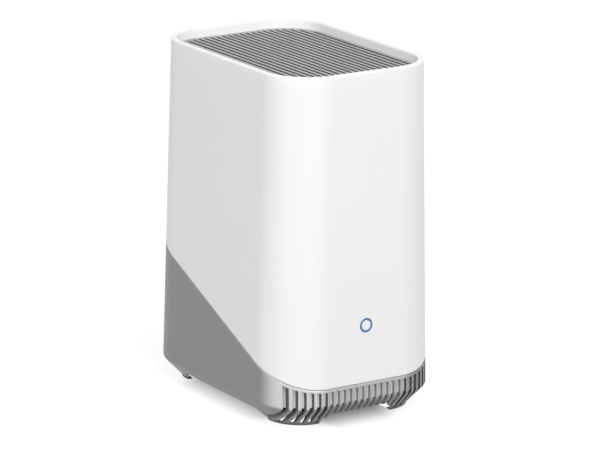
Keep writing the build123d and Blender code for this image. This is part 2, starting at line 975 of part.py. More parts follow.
def sink_pins():
    """Two push pins that hold the heat sink to the main board."""
    top = sink_face() + sink_base
    length = top - board_x
    return [
        Pos(top, y, z) * Rot(0, 90, 0) * small_screw(length)
        for y, z in sink_foot_places()
    ]


def radio_shield():
    """Pressed metal can over the radio parts."""
    y1 = board_back - standoff_inset - 2 * standoff_radius
    z1 = board_high - shield_edge
    x = board_face
    can = block((x, x + shield_height), (y1 - shield_length, y1), (z1 - shield_width, z1))
    can = fillet(can.edges().filter_by(Axis.X), shield_corner)
    inner = block(
        (x - overrun, x + shield_height - shield_wall),
        (y1 - shield_length + shield_wall, y1 - shield_wall),
        (z1 - shield_width + shield_wall, z1 - shield_wall),
    )
    return can - fillet(inner.edges().filter_by(Axis.X), shield_corner - shield_wall)


def sata_board():
    """Board on top of the bay that the drive plugs into."""
    half = sata_board_length / 2
    return block(
        (-bay_side, board_face),
        (bay_shift - half, bay_shift + half),
        (sata_board_low, sata_board_low + sata_board_thickness),
    )


def sata_socket():
    """Socket under the connector board, over the top end of the drive."""
    x0 = drive_x - drive_thickness / 2 + sata_socket_gap
    x1 = x0 + drive_connector_thickness - 2 * sata_socket_gap
    half = drive_connector_width / 2 - sata_socket_gap
    cap = block(
        (x0, x1 + sata_socket_wrap),
        (bay_shift - half - sata_socket_wrap, bay_shift + half + sata_socket_wrap),
        (drive_high + sata_socket_gap, sata_board_low),
    )
    blade = block(
        (x0, x1),
        (bay_shift - half, bay_shift + half),
        (drive_high - drive_connector_depth + sata_socket_gap, drive_high + sata_socket_gap),
    )
    return cap + blade


def bridge_connector():
    """Connector that joins the main board to the connector board above it."""
    half = bridge_length / 2
    return block(
        (board_x - flat_socket_length, board_x),
        (bay_shift - half, bay_shift + half),
        (sata_board_low - bridge_height, sata_board_low),
    )


def rear_board():
    """Board behind the rear wall, with the sockets and the switches."""
    half = rear_board_width / 2
    board = block(
        (-half, half), (rear_board_y - rear_board_thickness, rear_board_y), (rear_board_low, rear_board_high)
    )
    for x, z in rear_post_places():
        start = (x, rear_board_y - rear_board_thickness - overrun, z)
        board = board - small_rod(
            board_screw_shank + screw_clearance / 2, start, "y", rear_board_thickness + 2 * overrun
        )
    return board


def rear_post_places():
    """Places of the four posts between the rear wall and the rear board."""
    half = rear_board_width / 2 - rear_post_inset
    return [
        (side * half, z)
        for side in (-1, 1)
        for z in (rear_board_low + rear_post_inset, rear_board_high - rear_post_inset)
    ]


def rear_board_posts():
    """Posts on the inside of the rear wall."""
    limit = body(belly_top, height, base_wall / 2)
    return [
        rod(rear_post_radius, (x, rear_board_y, z), "y", rear_face(z) - rear_board_y) & limit
        for x, z in rear_post_places()
    ]


def rear_board_screw_holes():
    """Pilot holes in the posts of the rear wall."""
    length = board_screw_length - rear_board_thickness + thread_clearance
    return [
        rod(board_screw_shank + thread_clearance, (x, rear_board_y - overrun, z), "y", length + overrun)
        for x, z in rear_post_places()
    ]


def rear_board_screws():
    """Four screws that hold the rear board."""
    y = rear_board_y - rear_board_thickness
    return [
        Pos(x, y, z) * Rot(90, 0, 0) * small_screw(board_screw_length)
        for x, z in rear_post_places()
    ]


def port_openings():
    """Openings in the rear wall for the sockets, the button and the pinhole."""
    start = rear_board_y + port_depth / 2
    holes = []
    for x, wide, tall in (
        (0, ethernet_width, ethernet_height),
        (usb_place, usb_width, usb_height),
        (power_place, power_width, power_height),
    ):
        half, rise = wide / 2 + port_gap, tall / 2 + port_gap
        holes.append(block((x - half, x + half), (start, depth), (port_height - rise, port_height + rise)))
    holes.append(rod(button_radius + button_gap, (0, start, button_height), "y", depth))
    holes.append(rod(pinhole_radius, (reset_place, start, button_height), "y", depth))
    return holes


def port_block(x, wide, tall, corner):
    """Outside form of a socket, from the rear board to just inside the rear face."""
    form = block(
        (x - wide / 2, x + wide / 2),
        (rear_board_y, rear_board_y + port_depth),
        (port_height - tall / 2, port_height + tall / 2),
    )
    return fillet(form.edges().filter_by(Axis.Y), corner)


def ethernet_levels():
    """Levels of the network socket's cavity: the bottom of its key slot, its floor and its roof."""
    low = port_height - (ethernet_cavity_height + ethernet_key_height) / 2
    return low, low + ethernet_key_height, low + ethernet_key_height + ethernet_cavity_height


def ethernet_jack():
    """Network socket with its keyed cavity."""
    jack = port_block(0, ethernet_width, ethernet_height, port_gap)
    front = rear_board_y + port_depth
    y = (front - ethernet_cavity_depth, front + overrun)
    half, key_half = ethernet_cavity_width / 2, ethernet_key_width / 2
    low, floor_level, roof = ethernet_levels()
    cavity = block((-half, half), y, (floor_level, roof))
    key = block((-key_half, key_half), y, (low, floor_level + ethernet_key_height))
    return jack - cavity - key


def ethernet_contacts():
    """Eight contacts along the top of the network socket's cavity."""
    front = rear_board_y + port_depth
    roof = ethernet_levels()[2]
    half = ethernet_contact_width / 2
    places = [
        (index - (ethernet_contact_count - 1) / 2) * ethernet_contact_pitch
        for index in range(ethernet_contact_count)
    ]
    return [
        block(
            (x - half, x + half),
            (front - ethernet_cavity_depth, front - ethernet_contact_pitch),
            (roof - ethernet_contact_height, roof),
        )
        for x in places
    ]


def usb_socket():
    """Metal shell of the data socket, standing on edge."""
    shell = port_block(usb_place, usb_width, usb_height, port_gap)
    front = rear_board_y + port_depth
    return shell - block(
        (usb_place - usb_width / 2 + usb_wall, usb_place + usb_width / 2 - usb_wall),
        (front - usb_cavity_depth, front + overrun),
        (port_height - usb_height / 2 + usb_wall, port_height + usb_height / 2 - usb_wall),
    )


def usb_tongue():
    """Contact tongue inside the data socket."""
    front = rear_board_y + port_depth
    x = usb_place - usb_width / 2 + usb_wall + usb_tongue_edge
    return block(
        (x, x + usb_tongue_thickness),
        (front - usb_cavity_depth, front - usb_wall),
        (
            port_height - usb_height / 2 + usb_wall + usb_tongue_edge,
            port_height + usb_height / 2 - usb_wall - usb_tongue_edge,
        ),
    )


def power_jack():
    """Body of the power inlet."""
    jack = port_block(power_place, power_width, power_height, port_gap)
    start = (power_place, rear_board_y + port_depth - power_bore_depth, port_height)
    return jack - rod(power_bore, start, "y", power_bore_depth + overrun)


def power_pin():
    """Centre pin of the power inlet."""
    front = rear_board_y + port_depth
    length = power_bore_depth - power_pin_tip
    pin = rod(power_pin_radius, (power_place, front - power_bore_depth, port_height), "y", length)
    tip = pin.edges().sort_by(Axis.Y)[-1]
    return chamfer(tip, power_pin_radius / 3)


def switch_body(x, travel):
    """Body of a small push switch on the rear board, with room for its plunger's travel."""
    half = switch_size / 2
    case = block(
        (x - half, x + half),
        (rear_board_y, rear_board_y + switch_height),
        (button_height - half, button_height + half),
    )
    bore_depth = plunger_inside + plunger_room + travel
    bore_start = (x, rear_board_y + switch_height - bore_depth, button_height)
    bore = small_rod(plunger_radius + plunger_gap, bore_start, "y", switch_height)
    return case - bore


def switch_plunger(x):
    """Plunger that stands out of a push switch."""
    start = (x, rear_board_y + switch_height - plunger_inside, button_height)
    return small_rod(plunger_radius, start, "y", plunger_inside + plunger_above)


def sync_button():
    """Round button cap with its flange behind the wall and its stem down to the switch."""
    face = rear_face(button_height)
    stem_low = rear_board_y + switch_height + plunger_above
    flange_low = face - base_wall - button_flange_gap - button_flange_thickness
    cap_top = face + button_proud
    start = (0, flange_low, button_height)
    inner_start = (0, flange_low - overrun, button_height)
    cap = rod(button_radius, start, "y", cap_top - flange_low)
    flange = rod(button_radius + button_flange, start, "y", button_flange_thickness)
    inside = rod(button_radius - button_wall, inner_start, "y", cap_top - button_wall - inner_start[1])
    stem = small_rod(stem_radius, (0, stem_low, button_height), "y", cap_top - button_wall / 2 - stem_low)
    dish_radius = (button_radius ** 2 + button_dish ** 2) / (2 * button_dish)
    dish = Pos(0, cap_top + dish_radius - button_dish / 2, button_height) * Sphere(dish_radius)
    button = cap + flange - inside + stem
    rim = [edge for edge in button.edges() if abs(edge.center().Y - cap_top) < button_dish / 2]
    return chamfer(rim, button_dish) - dish


def speaker_screw_x():
    """Distance of the speaker's screws from its middle."""
    return speaker_length / 2 + speaker_ear / 2


def speaker_top():
    """Level of the top of the speaker's box."""
    return grille_bottom - grille_rib_height


def speaker_box():
    """Closed box of the speaker, with an ear at each end."""
    top = speaker_top()
    low = top - speaker_height
    half, wide = speaker_length / 2, speaker_width / 2
    box = block((-half, half), (-wide, wide), (low, top))
    box = fillet(box.edges().filter_by(Axis.Z), speaker_corner)
    inner = block(
        (-half + speaker_wall, half - speaker_wall),
        (-wide + speaker_wall, wide - speaker_wall),
        (low + speaker_wall, top - speaker_wall),
    )
    box = box - fillet(inner.edges().filter_by(Axis.Z), speaker_corner - speaker_wall)
    box = box - rod(driver_radius, (0, 0, top - 2 * speaker_wall), "z", 3 * speaker_wall)
    for side in (-1, 1):
        x = side * speaker_screw_x()
        ear = rod(speaker_ear, (x, 0, top - speaker_ear_thickness), "z", speaker_ear_thickness)
        bridge = sorted((side * (half - speaker_wall), x))
        ear = ear + block(bridge, (-speaker_ear, speaker_ear), (top - speaker_ear_thickness, top))
        box = box + (ear - block((-half + speaker_wall, half - speaker_wall), (-wide, wide), (low, top)))
        box = box - small_rod(
            board_screw_shank + screw_clearance / 2,
            (x, 0, top - speaker_ear_thickness - overrun),
            "z",
            speaker_ear_thickness + 2 * overrun,
        )
    return box


def speaker_driver():
    """Driver: flange, basket, cone with its dust cap, and magnet, turned round one axis."""
    top = speaker_top()
    r, f = driver_radius, driver_flange
    throat = driver_cap_radius
    low = top - driver_depth
    magnet_low = low - driver_magnet_height
    points = [
        (0, magnet_low),
        (driver_magnet_radius, magnet_low),
        (driver_magnet_radius, low),
        (r - driver_rim, top - f),
        (r - thread_clearance, top - f),
        (r - thread_clearance, top),
        (r + driver_rim, top),
        (r + driver_rim, top + f),
        (r - driver_rim, top + f),
        (throat, low + 3 * driver_cone_wall),
        (0, low + 5 * driver_cone_wall),
    ]
    return revolve(Plane.XZ * make_face(Polyline(*points, close=True)), Axis.Z)


def speaker_gasket():
    """Foam ring between the driver and the grille."""
    low = speaker_top() + driver_flange
    ring = Circle(driver_radius + driver_rim) - Circle(driver_radius - driver_rim)
    return Pos(0, 0, low) * extrude(ring, amount=grille_bottom - low)


def speaker_screws():
    """Two screws, driven up through the ears of the speaker."""
    level = speaker_top() - speaker_ear_thickness
    return [
        Pos(side * speaker_screw_x(), 0, level) * Rot(180, 0, 0) * small_screw(speaker_screw_length)
        for side in (-1, 1)
    ]


def antennas():
    """Two antenna strips, bonded to the inside of the side walls near the top."""
    low, high = antenna_low, antenna_high
    outer = body(low, high, shell_wall + antenna_bond)
    inner = body(low, high, shell_wall + antenna_bond + antenna_thickness)
    strips = []
    for side in (-1, 1):
        limits = sorted((0, side * width))
        y = -side * antenna_spread / 2
        strip = block(limits, (y - antenna_length / 2, y + antenna_length / 2), (low, high))
        strips.append((outer - inner) & strip)
    return strips


def lead_plug_places():
    """Places of the two antenna plugs on the main board, for the left and the right strip."""
    y = board_back - lead_plug_inset
    z = board_high - lead_plug_below_edge
    return {-1: (y, z), 1: (y - lead_plug_spread, z)}


def lead_plugs():
    """Round plugs of the two antenna leads."""
    return [
        small_rod(lead_plug_radius, (board_face, y, z), "x", lead_plug_height)
        for y, z in lead_plug_places().values()
    ]


def lead(points):
    """Lead along a route, with every bend as wide as the runs beside it allow."""
    corners = [Vector(*point) for point in points]
    runs = [after - before for before, after in zip(corners, corners[1:])]
    bends = []
    for before, after in zip(runs, runs[1:]):
        half_turn = radians(before.get_angle(after)) / 2
        bends.append(lead_bend_share * min(before.length, after.length) / tan(half_turn))
    route = FilletPolyline(*points, radius=bends)
    return sweep(Plane(points[0], z_dir=runs[0]) * RegularPolygon(lead_radius, lead_sides), path=route)


def antenna_leads():
    """Two leads from the antenna strips to their plugs. The left one lies over the top of the bay."""
    level = antenna_low + antenna_width / 2
    inner = width / 2 - side_lean * lean_at(level) - shell_wall - antenna_bond - antenna_thickness
    x = inner - thread_clearance
    over_bay = bay_top + lead_radius + lead_shelf
    leads = []
    for side, (y_plug, z_plug) in lead_plug_places().items():
        y = antenna_length / 2 - side * antenna_spread / 2 - lead_inset
        z_end = z_plug + lead_plug_radius
        route = [(side * x, y, level), (side * (x - lead_straight), y, level)]
        if side > 0:
            route.append(((x + lead_lane) / 2, (y + y_plug) / 2, (level + board_high) / 2))
            route.append((lead_lane + lead_bow, y_plug - lead_bow, board_high))
        else:
            route.append((-bay_side - lead_straight, y_plug, over_bay + lead_bow))
            route.append((0, y_plug, over_bay))
            route.append((board_x, y_plug, over_bay + lead_bow / 2))
            route.append((lead_lane + lead_bow / 2, y_plug, over_bay))
        route.append((lead_lane, y_plug, z_end + lead_straight))
        route.append((lead_lane, y_plug, z_end))
        leads.append(lead(route))
    return leads


def speaker_plug():
    """Plug of the speaker's lead, on the main board near its top edge."""
    half = speaker_plug_width / 2
    high = board_high - speaker_plug_below_edge
    return block(
        (board_face, board_face + speaker_plug_height),
        (speaker_lead_place - half, speaker_lead_place + half),
        (high - speaker_plug_length, high),
    )


def speaker_lead():
    """Lead that hangs from the underside of the speaker's box and runs down into its plug."""
    low = board_high - speaker_plug_below_edge
    high = speaker_top() - speaker_height
    x, y = board_face + speaker_plug_height / 2, speaker_lead_place
    rise = (high - low) / 5
    return lead(
        [
            (x, y, high),
            (x, y, high - rise),
            (x + speaker_lead_sway, y - speaker_lead_sway, high - 2 * rise),
            (x + speaker_lead_sway, y + speaker_lead_sway, low + 2 * rise),
            (x, y, low + rise),
            (x, y, low),
        ]
    )


def flat_cable(points, level):
    """Flat cable that stands on edge and follows a route in plan."""
    route = FilletPolyline(*points, radius=flat_cable_bend)
    start = Plane(points[0], x_dir=(0, 0, 1), z_dir=route % 0)
    strip = sweep(start * Rectangle(flat_cable_width, flat_cable_thickness), path=route)
    return Pos(0, 0, level) * strip


def led_cable():
    """Flat cable from the main board round to the small board behind the ring."""
    y = led_board_front() + led_board_thickness + flat_socket_height / 2
    near = led_socket_place + flat_socket_length / 2
    far = board_front + flat_socket_inset + flat_socket_length / 2
    return flat_cable([(near, y), (cable_lane, y), (cable_lane, far)], led_cable_level)


def rear_cable():
    """Flat cable from the main board round to the rear board."""
    y = rear_board_y - rear_board_thickness - flat_socket_height / 2
    near = rear_socket_place + flat_socket_length / 2
    far = board_back - flat_socket_inset - flat_socket_length / 2
    return flat_cable([(near, y), (cable_lane, y), (cable_lane, far)], flat_cable_level)


def cable_sockets():
    """Four sockets of the flat cables, each with a slit that the end of its cable goes into."""
    led_y = led_board_front() + led_board_thickness
    rear_y = rear_board_y - rear_board_thickness
    on_board = (board_face, board_face + flat_socket_height)
    front = board_front + flat_socket_inset
    back = board_back - flat_socket_inset
    limits = [
        ((led_socket_place, led_socket_place + flat_socket_length), (led_y, led_y + flat_socket_height)),
        (on_board, (front, front + flat_socket_length)),
        ((rear_socket_place, rear_socket_place + flat_socket_length), (rear_y - flat_socket_height, rear_y)),
        (on_board, (back - flat_socket_length, back)),
    ]
    levels = [led_cable_level, led_cable_level, flat_cable_level, flat_cable_level]
    sockets = []
    for (x, y), level in zip(limits, levels):
        rise = flat_cable_width / 2 + flat_socket_side
        slit_rise = flat_cable_width / 2 + flat_slit_clearance
        slit_half = flat_cable_thickness / 2 + flat_slit_clearance
        middle = (x[0] + x[1]) / 2, (y[0] + y[1]) / 2
        if x == on_board:
            mouth = (y[0] - overrun, middle[1]) if y[0] == front else (middle[1], y[1] + overrun)
            slit = (middle[0] - slit_half, middle[0] + slit_half), mouth
        else:
            slit = (middle[0], x[1] + overrun), (middle[1] - slit_half, middle[1] + slit_half)
        socket = block(x, y, (level - rise, level + rise))
        sockets.append(socket - block(*slit, (level - slit_rise, level + slit_rise)))
    return sockets


def main():
    """Build every piece and write one file for each."""
    os.makedirs("parts", exist_ok=True)
    form = rounded_body()
    pieces = {
        "upper_shell": upper_shell(form),
        "base_housing": base_housing(form),
        "foot_pads": foot_pads(),
        "top_grille": top_grille(),
        "status_ring": status_ring(form),
        "ring_plug": ring_plug(form),
        "led_board": led_board(),
        "status_leds": status_leds(),
        "led_screws": led_screws(),
        "housing_screws": housing_screws(),
        "tray_cover": tray_cover(),
        "tray_screw": tray_screw(),
        "drive_tray": drive_tray(),
        "storage_drive": storage_drive(),
        "drive_screws": drive_screws(),
        "drive_bay": drive_bay(),
        "bay_screws": bay_screws(),
        "main_board": main_board(),
        "board_screws": board_screws(),
        "chips": chips(),
        "thermal_pad": thermal_pad(),
        "heat_sink": heat_sink(),
        "sink_pins": sink_pins(),
        "radio_shield": radio_shield(),
        "sata_board": sata_board(),
        "sata_socket": sata_socket(),
        "bridge_connector": bridge_connector(),
        "rear_board": rear_board(),
        "rear_board_screws": rear_board_screws(),
        "ethernet_jack": ethernet_jack(),
        "ethernet_contacts": ethernet_contacts(),
        "usb_socket": usb_socket(),
        "usb_tongue": usb_tongue(),
        "power_jack": power_jack(),
        "power_pin": power_pin(),
        "sync_switch": switch_body(0, button_travel),
        "sync_plunger": switch_plunger(0),
        "sync_button": sync_button(),
        "reset_switch": switch_body(reset_place, reset_travel),
        "reset_plunger": switch_plunger(reset_place),
        "speaker_box": speaker_box(),
        "speaker_driver": speaker_driver(),
        "speaker_gasket": speaker_gasket(),
        "speaker_screws": speaker_screws(),
        "speaker_plug": speaker_plug(),
        "speaker_lead": speaker_lead(),
        "antennas": antennas(),
        "lead_plugs": lead_plugs(),
        "antenna_leads": antenna_leads(),
        "led_cable": led_cable(),
        "rear_cable": rear_cable(),
        "cable_sockets": cable_sockets(),
    }
    for name, piece in pieces.items():
        solids = piece if isinstance(piece, list) else [piece]
        whole = Compound([solid for shape in solids for solid in shape.solids()])
        export_step(whole, f"parts/{name}.step")
        print(name, len(whole.solids()), round(whole.volume))


main()
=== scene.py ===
import json
import math

import bmesh
import bpy
import numpy as np
from mathutils import Matrix, Vector

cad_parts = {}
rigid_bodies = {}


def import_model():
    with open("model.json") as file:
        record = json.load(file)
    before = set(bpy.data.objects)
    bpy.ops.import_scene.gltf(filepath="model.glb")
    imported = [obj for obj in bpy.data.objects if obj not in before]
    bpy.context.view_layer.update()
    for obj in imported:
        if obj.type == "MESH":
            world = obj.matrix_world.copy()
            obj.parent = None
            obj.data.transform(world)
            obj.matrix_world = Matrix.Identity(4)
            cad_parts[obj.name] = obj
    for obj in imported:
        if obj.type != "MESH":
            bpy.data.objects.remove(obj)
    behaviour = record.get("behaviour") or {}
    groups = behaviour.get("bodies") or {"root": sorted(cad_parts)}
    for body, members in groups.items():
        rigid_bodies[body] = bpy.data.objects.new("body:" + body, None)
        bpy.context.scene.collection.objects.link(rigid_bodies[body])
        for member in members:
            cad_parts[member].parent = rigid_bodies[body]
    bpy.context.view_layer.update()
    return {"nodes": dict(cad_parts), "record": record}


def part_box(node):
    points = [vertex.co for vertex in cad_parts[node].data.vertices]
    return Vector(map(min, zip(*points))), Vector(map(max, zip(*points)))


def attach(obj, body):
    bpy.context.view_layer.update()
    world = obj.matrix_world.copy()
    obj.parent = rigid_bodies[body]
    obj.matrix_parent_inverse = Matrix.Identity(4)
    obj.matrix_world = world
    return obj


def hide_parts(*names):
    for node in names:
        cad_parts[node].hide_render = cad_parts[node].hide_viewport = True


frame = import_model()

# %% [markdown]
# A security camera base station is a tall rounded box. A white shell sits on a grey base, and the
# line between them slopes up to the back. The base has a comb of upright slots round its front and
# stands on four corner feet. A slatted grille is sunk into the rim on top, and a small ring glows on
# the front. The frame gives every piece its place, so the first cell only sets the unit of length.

mm = 0.001

# %% [markdown]
# Every big surface of the body follows one outline: a rounded rectangle that is widest at a bend
# just above the feet, leans in a little on its way up, and runs in like a cone on its way down. One
# function gives that outline at any level and at any depth inside the wall. Building the skins from
# it, and not from the frame's triangles, keeps the long walls smooth under soft light.

# %% Outline of the body
height = 178.0 * mm
width = 98.0 * mm
depth = 133.5 * mm
corner_radius = 27.0 * mm
side_lean = 4.4 * mm
end_lean = 2.25 * mm
corner_lean = 2.6 * mm
bend_height = 10.7 * mm
undercut = 10.4 * mm
parting_front = 20.1 * mm
parting_slope = 0.43
pad_thickness = 0.8 * mm
corner_steps = 40
side_steps = {0: 60, 1: 30, 2: 60, 3: 60}
settling_rounds = 12


def stations():
    """Columns round the outline: a kind, a corner number and a share along it."""
    found = []
    for corner in range(4):
        found += [(0, corner, k / corner_steps) for k in range(corner_steps + 1)]
        steps = side_steps[corner]
        found += [(1, corner, k / steps) for k in range(1, steps)]
    return np.array(found)


COLUMNS = stations()
CORNER_SIGNS = np.array([(1, -1), (1, 1), (-1, 1), (-1, -1)], float)


def ring(level, inset=0.0):
    """Points of the outline at a level, drawn in by an inset. Both can differ from column to column."""
    level = np.broadcast_to(np.asarray(level, float), len(COLUMNS))
    rise = np.maximum(level - bend_height, 0) / (height - bend_height)
    run_in = undercut * np.maximum(bend_height - level, 0) / bend_height
    half_x = width / 2 - side_lean * rise - run_in - inset
    half_y = depth / 2 - end_lean * rise - run_in - inset
    radius = corner_radius - corner_lean * rise - run_in - inset

    def corner_point(corner, share):
        sign = CORNER_SIGNS[corner]
        angle = (corner - 1 + share) * math.pi / 2
        x = sign[:, 0] * (half_x - radius) + radius * np.cos(angle)
        y = sign[:, 1] * (half_y - radius) + radius * np.sin(angle)
        return np.stack([x, y], 1)

    kind, corner, share = COLUMNS[:, 0], COLUMNS[:, 1].astype(int), COLUMNS[:, 2]
    here = corner_point(corner, np.where(kind == 0, share, 1.0))
    after = corner_point((corner + 1) % 4, np.zeros(len(COLUMNS)))
    mix = np.where(kind == 0, 0.0, share)[:, None]
    flat = here * (1 - mix) + after * mix
    return np.column_stack([flat, level])


def parting_ring(lift=0.0, inset=0.0):
    """The outline where it meets the sloping parting surface, lifted by a distance.

    The outline leans, so its level and its place depend on each other and settle in a few rounds.
    """
    level = np.full(len(COLUMNS), parting_front)
    for _ in range(settling_rounds):
        points = ring(level, inset)
        level = np.maximum(parting_front + parting_slope * (points[:, 1] + depth / 2) + lift, pad_thickness)
    return ring(level, inset)


print("columns round the body:", len(COLUMNS))

# %% [markdown]
# A wall is a stack of such outlines joined by four-sided faces. A tube closes on itself, from the
# outside over the rim and down the inside. A solid is closed by a flat cap at each end. One helper
# does both, merges what coincides and turns every face outwards.

# %% Build a wall from outlines
same_point = 0.01 * mm
thin_edge = 0.005 * mm


def make_piece(name, mesh_builder):
    """New object whose mesh a function builds, with doubles merged and faces turned outwards."""
    mesh = bpy.data.meshes.new(name)
    bm = bmesh.new()
    mesh_builder(bm)
    bmesh.ops.remove_doubles(bm, verts=bm.verts, dist=same_point)
    bmesh.ops.dissolve_degenerate(bm, dist=thin_edge, edges=bm.edges)
    bmesh.ops.recalc_face_normals(bm, faces=bm.faces)
    bm.to_mesh(mesh)
    bm.free()
    piece = bpy.data.objects.new(name, mesh)
    bpy.context.scene.collection.objects.link(piece)
    return piece


def wall(name, rings, closed=True):
    """Piece made of outlines in order, closed as a tube or capped at both ends."""

    def build(bm):
        rows = [[bm.verts.new(p) for p in points] for points in rings]
        count = len(rows[0])
        for a in range(len(rows) if closed else len(rows) - 1):
            low, high = rows[a], rows[(a + 1) % len(rows)]
            for k in range(count):
                j = (k + 1) % count
                bm.faces.new((low[k], low[j], high[j], high[k]))
        if not closed:
            bm.faces.new(rows[0])
            bm.faces.new(rows[-1])

    return make_piece(name, build)


def smooth(piece, degrees=35):
    """Shade a piece smooth, but keep its real edges crisp."""
    for polygon in piece.data.polygons:
        polygon.use_smooth = True
    bm = bmesh.new()
    bm.from_mesh(piece.data)
    for edge in bm.edges:
        edge.smooth = edge.calc_face_angle(math.pi) < math.radians(degrees)
    bm.to_mesh(piece.data)
    bm.free()
    return piece


def keep_result(piece):
    """Turn what a piece's modifiers make into its plain mesh."""
    bpy.context.view_layer.update()
    graph = bpy.context.evaluated_depsgraph_get()
    mesh = bpy.data.meshes.new_from_object(piece.evaluated_get(graph))
    piece.modifiers.clear()
    piece.data = mesh
    return piece


def report(piece):
    """Print what a finished piece is made of."""
    faces = sum(len(p.vertices) - 2 for p in piece.data.polygons)
    print(f"{piece.name}: {faces} triangles")
    return piece

# %% [markdown]
# The white shell is one moulding. From the parting line its outside climbs to a softly rounded rim,
# turns over and drops down the inside of the sunk top to a ledge that holds the grille. At the
# bottom a thinner skirt reaches down inside the base, and it is what shows pale behind the slots.

# %% White upper shell
shell_wall = 3.0 * mm
base_wall = 2.0 * mm
rim_round = 0.8 * mm
skirt_gap = 0.15 * mm
skirt_thickness = 1.6 * mm
skirt_depth = 14.0 * mm
skirt_floor = 11.3 * mm
parting_gap = 0.15 * mm
grille_recess = 4.6 * mm
grille_thickness = 2.0 * mm
ledge_width = 2.4 * mm
ledge_thickness = 2.0 * mm
inner_round = 0.4 * mm
edge_round = 0.35 * mm
wall_rows = 24
round_steps = 6


def arc(steps):
    """Angles of a quarter turn, for a rounded edge."""
    return [math.pi / 2 * k / steps for k in range(steps + 1)]


def upper_shell_rings():
    """Outlines of the shell: up its outside, over the rim, down the sunk top and round the skirt."""
    bottom = parting_ring(parting_gap + edge_round)
    top = height - rim_round
    rings = [parting_ring(parting_gap, edge_round)]
    for k in range(wall_rows + 1):
        share = k / wall_rows
        rings.append(ring(bottom[:, 2] * (1 - share) + top * share))
    for a in arc(round_steps)[1:]:
        rings.append(ring(top + rim_round * math.sin(a), rim_round * (1 - math.cos(a))))
    for a in arc(round_steps // 2):
        level = height - inner_round * (1 - math.cos(a))
        rings.append(ring(level, shell_wall - inner_round * (1 - math.sin(a))))
    grille_bottom = height - grille_recess - grille_thickness
    rings.append(ring(grille_bottom, shell_wall))
    rings.append(ring(grille_bottom, shell_wall + ledge_width))
    rings.append(ring(grille_bottom - ledge_thickness, shell_wall + ledge_width))
    rings.append(ring(grille_bottom - ledge_thickness, shell_wall))
    skirt_low = np.maximum(parting_ring(-skirt_depth, base_wall)[:, 2], skirt_floor)
    skirt_out = base_wall + skirt_gap
    rings.append(parting_ring(shell_wall + ledge_width, shell_wall))
    rings.append(parting_ring(parting_gap, skirt_out + skirt_thickness))
    rings.append(ring(skirt_low, skirt_out + skirt_thickness))
    rings.append(ring(skirt_low, skirt_out))
    rings.append(parting_ring(parting_gap, skirt_out))
    return rings


shell = report(smooth(wall("shell_white", upper_shell_rings())))

# %% [markdown]
# The grey base starts as a plain closed form without slots. Its outside runs from the parting line
# over a rounded bend and down a cone. Between the feet the cone stops at the belly. At the feet it
# runs on to the floor, so each column has its own lowest level, with a slope where a foot begins. The
# feet are hollow, and their wall gets thinner towards its lowest edge, as a moulded wall does so that
# it comes out of the mould.

# %% Grey base, before its slots are cut
belly_height = 5.3 * mm
belly_top = 7.5 * mm
bend_round = 3.0 * mm
foot_wall = 2.6 * mm
foot_gap_side = 20.7 * mm
foot_gap_end = 38.0 * mm
foot_end_slope = 3.6 * mm
base_rows = 14
cone_rows = (0.33, 0.66)
bend_steps = round_steps + 2
belly_inset = 14.0 * mm
foot_round = 0.7 * mm
foot_wall_low = 1.0 * mm


def foot_low():
    """Lowest level of the wall in each column: the belly, or the top of the foot's pad."""
    points = ring(pad_thickness)
    slope = foot_end_slope / (belly_height - pad_thickness)
    beyond_side = np.abs(points[:, 0]) - (foot_gap_side - foot_end_slope)
    beyond_end = np.abs(points[:, 1]) - (foot_gap_end - foot_end_slope)
    beyond = np.minimum(beyond_side, beyond_end)
    return np.clip(belly_height - beyond / slope, pad_thickness, belly_height)


def rounded_bend():
    """Levels and extra insets of the round between the upright wall and the cone."""
    turn = math.atan(undercut / bend_height)
    centre = bend_height + bend_round * math.tan(turn / 2)
    found = []
    for k in range(bend_steps + 1):
        a = turn * k / bend_steps
        level = centre - bend_round * math.sin(a)
        sharp = max(0.0, (bend_height - level) * undercut / bend_height)
        found.append((level, bend_round * (1 - math.cos(a)) - sharp))
    return found


def rounded_foot():
    """Rises and insets of the round where the cone ends in the belly or on a foot's pad."""
    found = []
    for k in range(round_steps + 1):
        share = k / round_steps
        keep = 1 - math.sqrt(1 - (1 - share) ** 2)
        found.append((foot_round * (1 - math.sqrt(1 - share * share)), foot_round * keep))
    return found


def base_rings():
    """Outlines of the base: from the belly out and up its outside, then down the inside to the belly."""
    top = parting_ring(-edge_round)
    low = foot_low()
    bend = rounded_bend()
    rings = [ring(belly_height, belly_inset), ring(belly_height, foot_wall), ring(low, foot_wall_low)]
    for rise, inset in rounded_foot():
        rings.append(ring(low + rise, inset))
    for share in cone_rows:
        rings.append(ring((low + foot_round) * (1 - share) + bend[-1][0] * share))
    rings += [ring(level, extra) for level, extra in reversed(bend)]
    for k in range(1, base_rows + 1):
        share = k / base_rows
        rings.append(ring(bend[0][0] * (1 - share) + top[:, 2] * share))
    rings.append(parting_ring(0, edge_round))
    rings.append(parting_ring(0, base_wall))
    rings.append(ring(bend_height, base_wall))
    rings.append(ring(belly_top, base_wall))
    rings.append(ring(belly_top, belly_inset))
    return rings


base = report(wall("base_grey", base_rings(), closed=False))

# %% [markdown]
# A comb of slots is one slot, repeated. Geometry Nodes do that well: a row of points carries one box
# each, the boxes are clipped to the space that may be cut, and what is left is taken out of the
# piece. The same tree cuts the comb of the base and the grille on top, with other sizes in its inputs.

# %% Tree that cuts a comb
def input_socket(tree, name, kind, default=None):
    """Add a named input to a tree."""
    socket = tree.interface.new_socket(name, in_out="INPUT", socket_type=kind)
    if default is not None:
        socket.default_value = default
    return socket


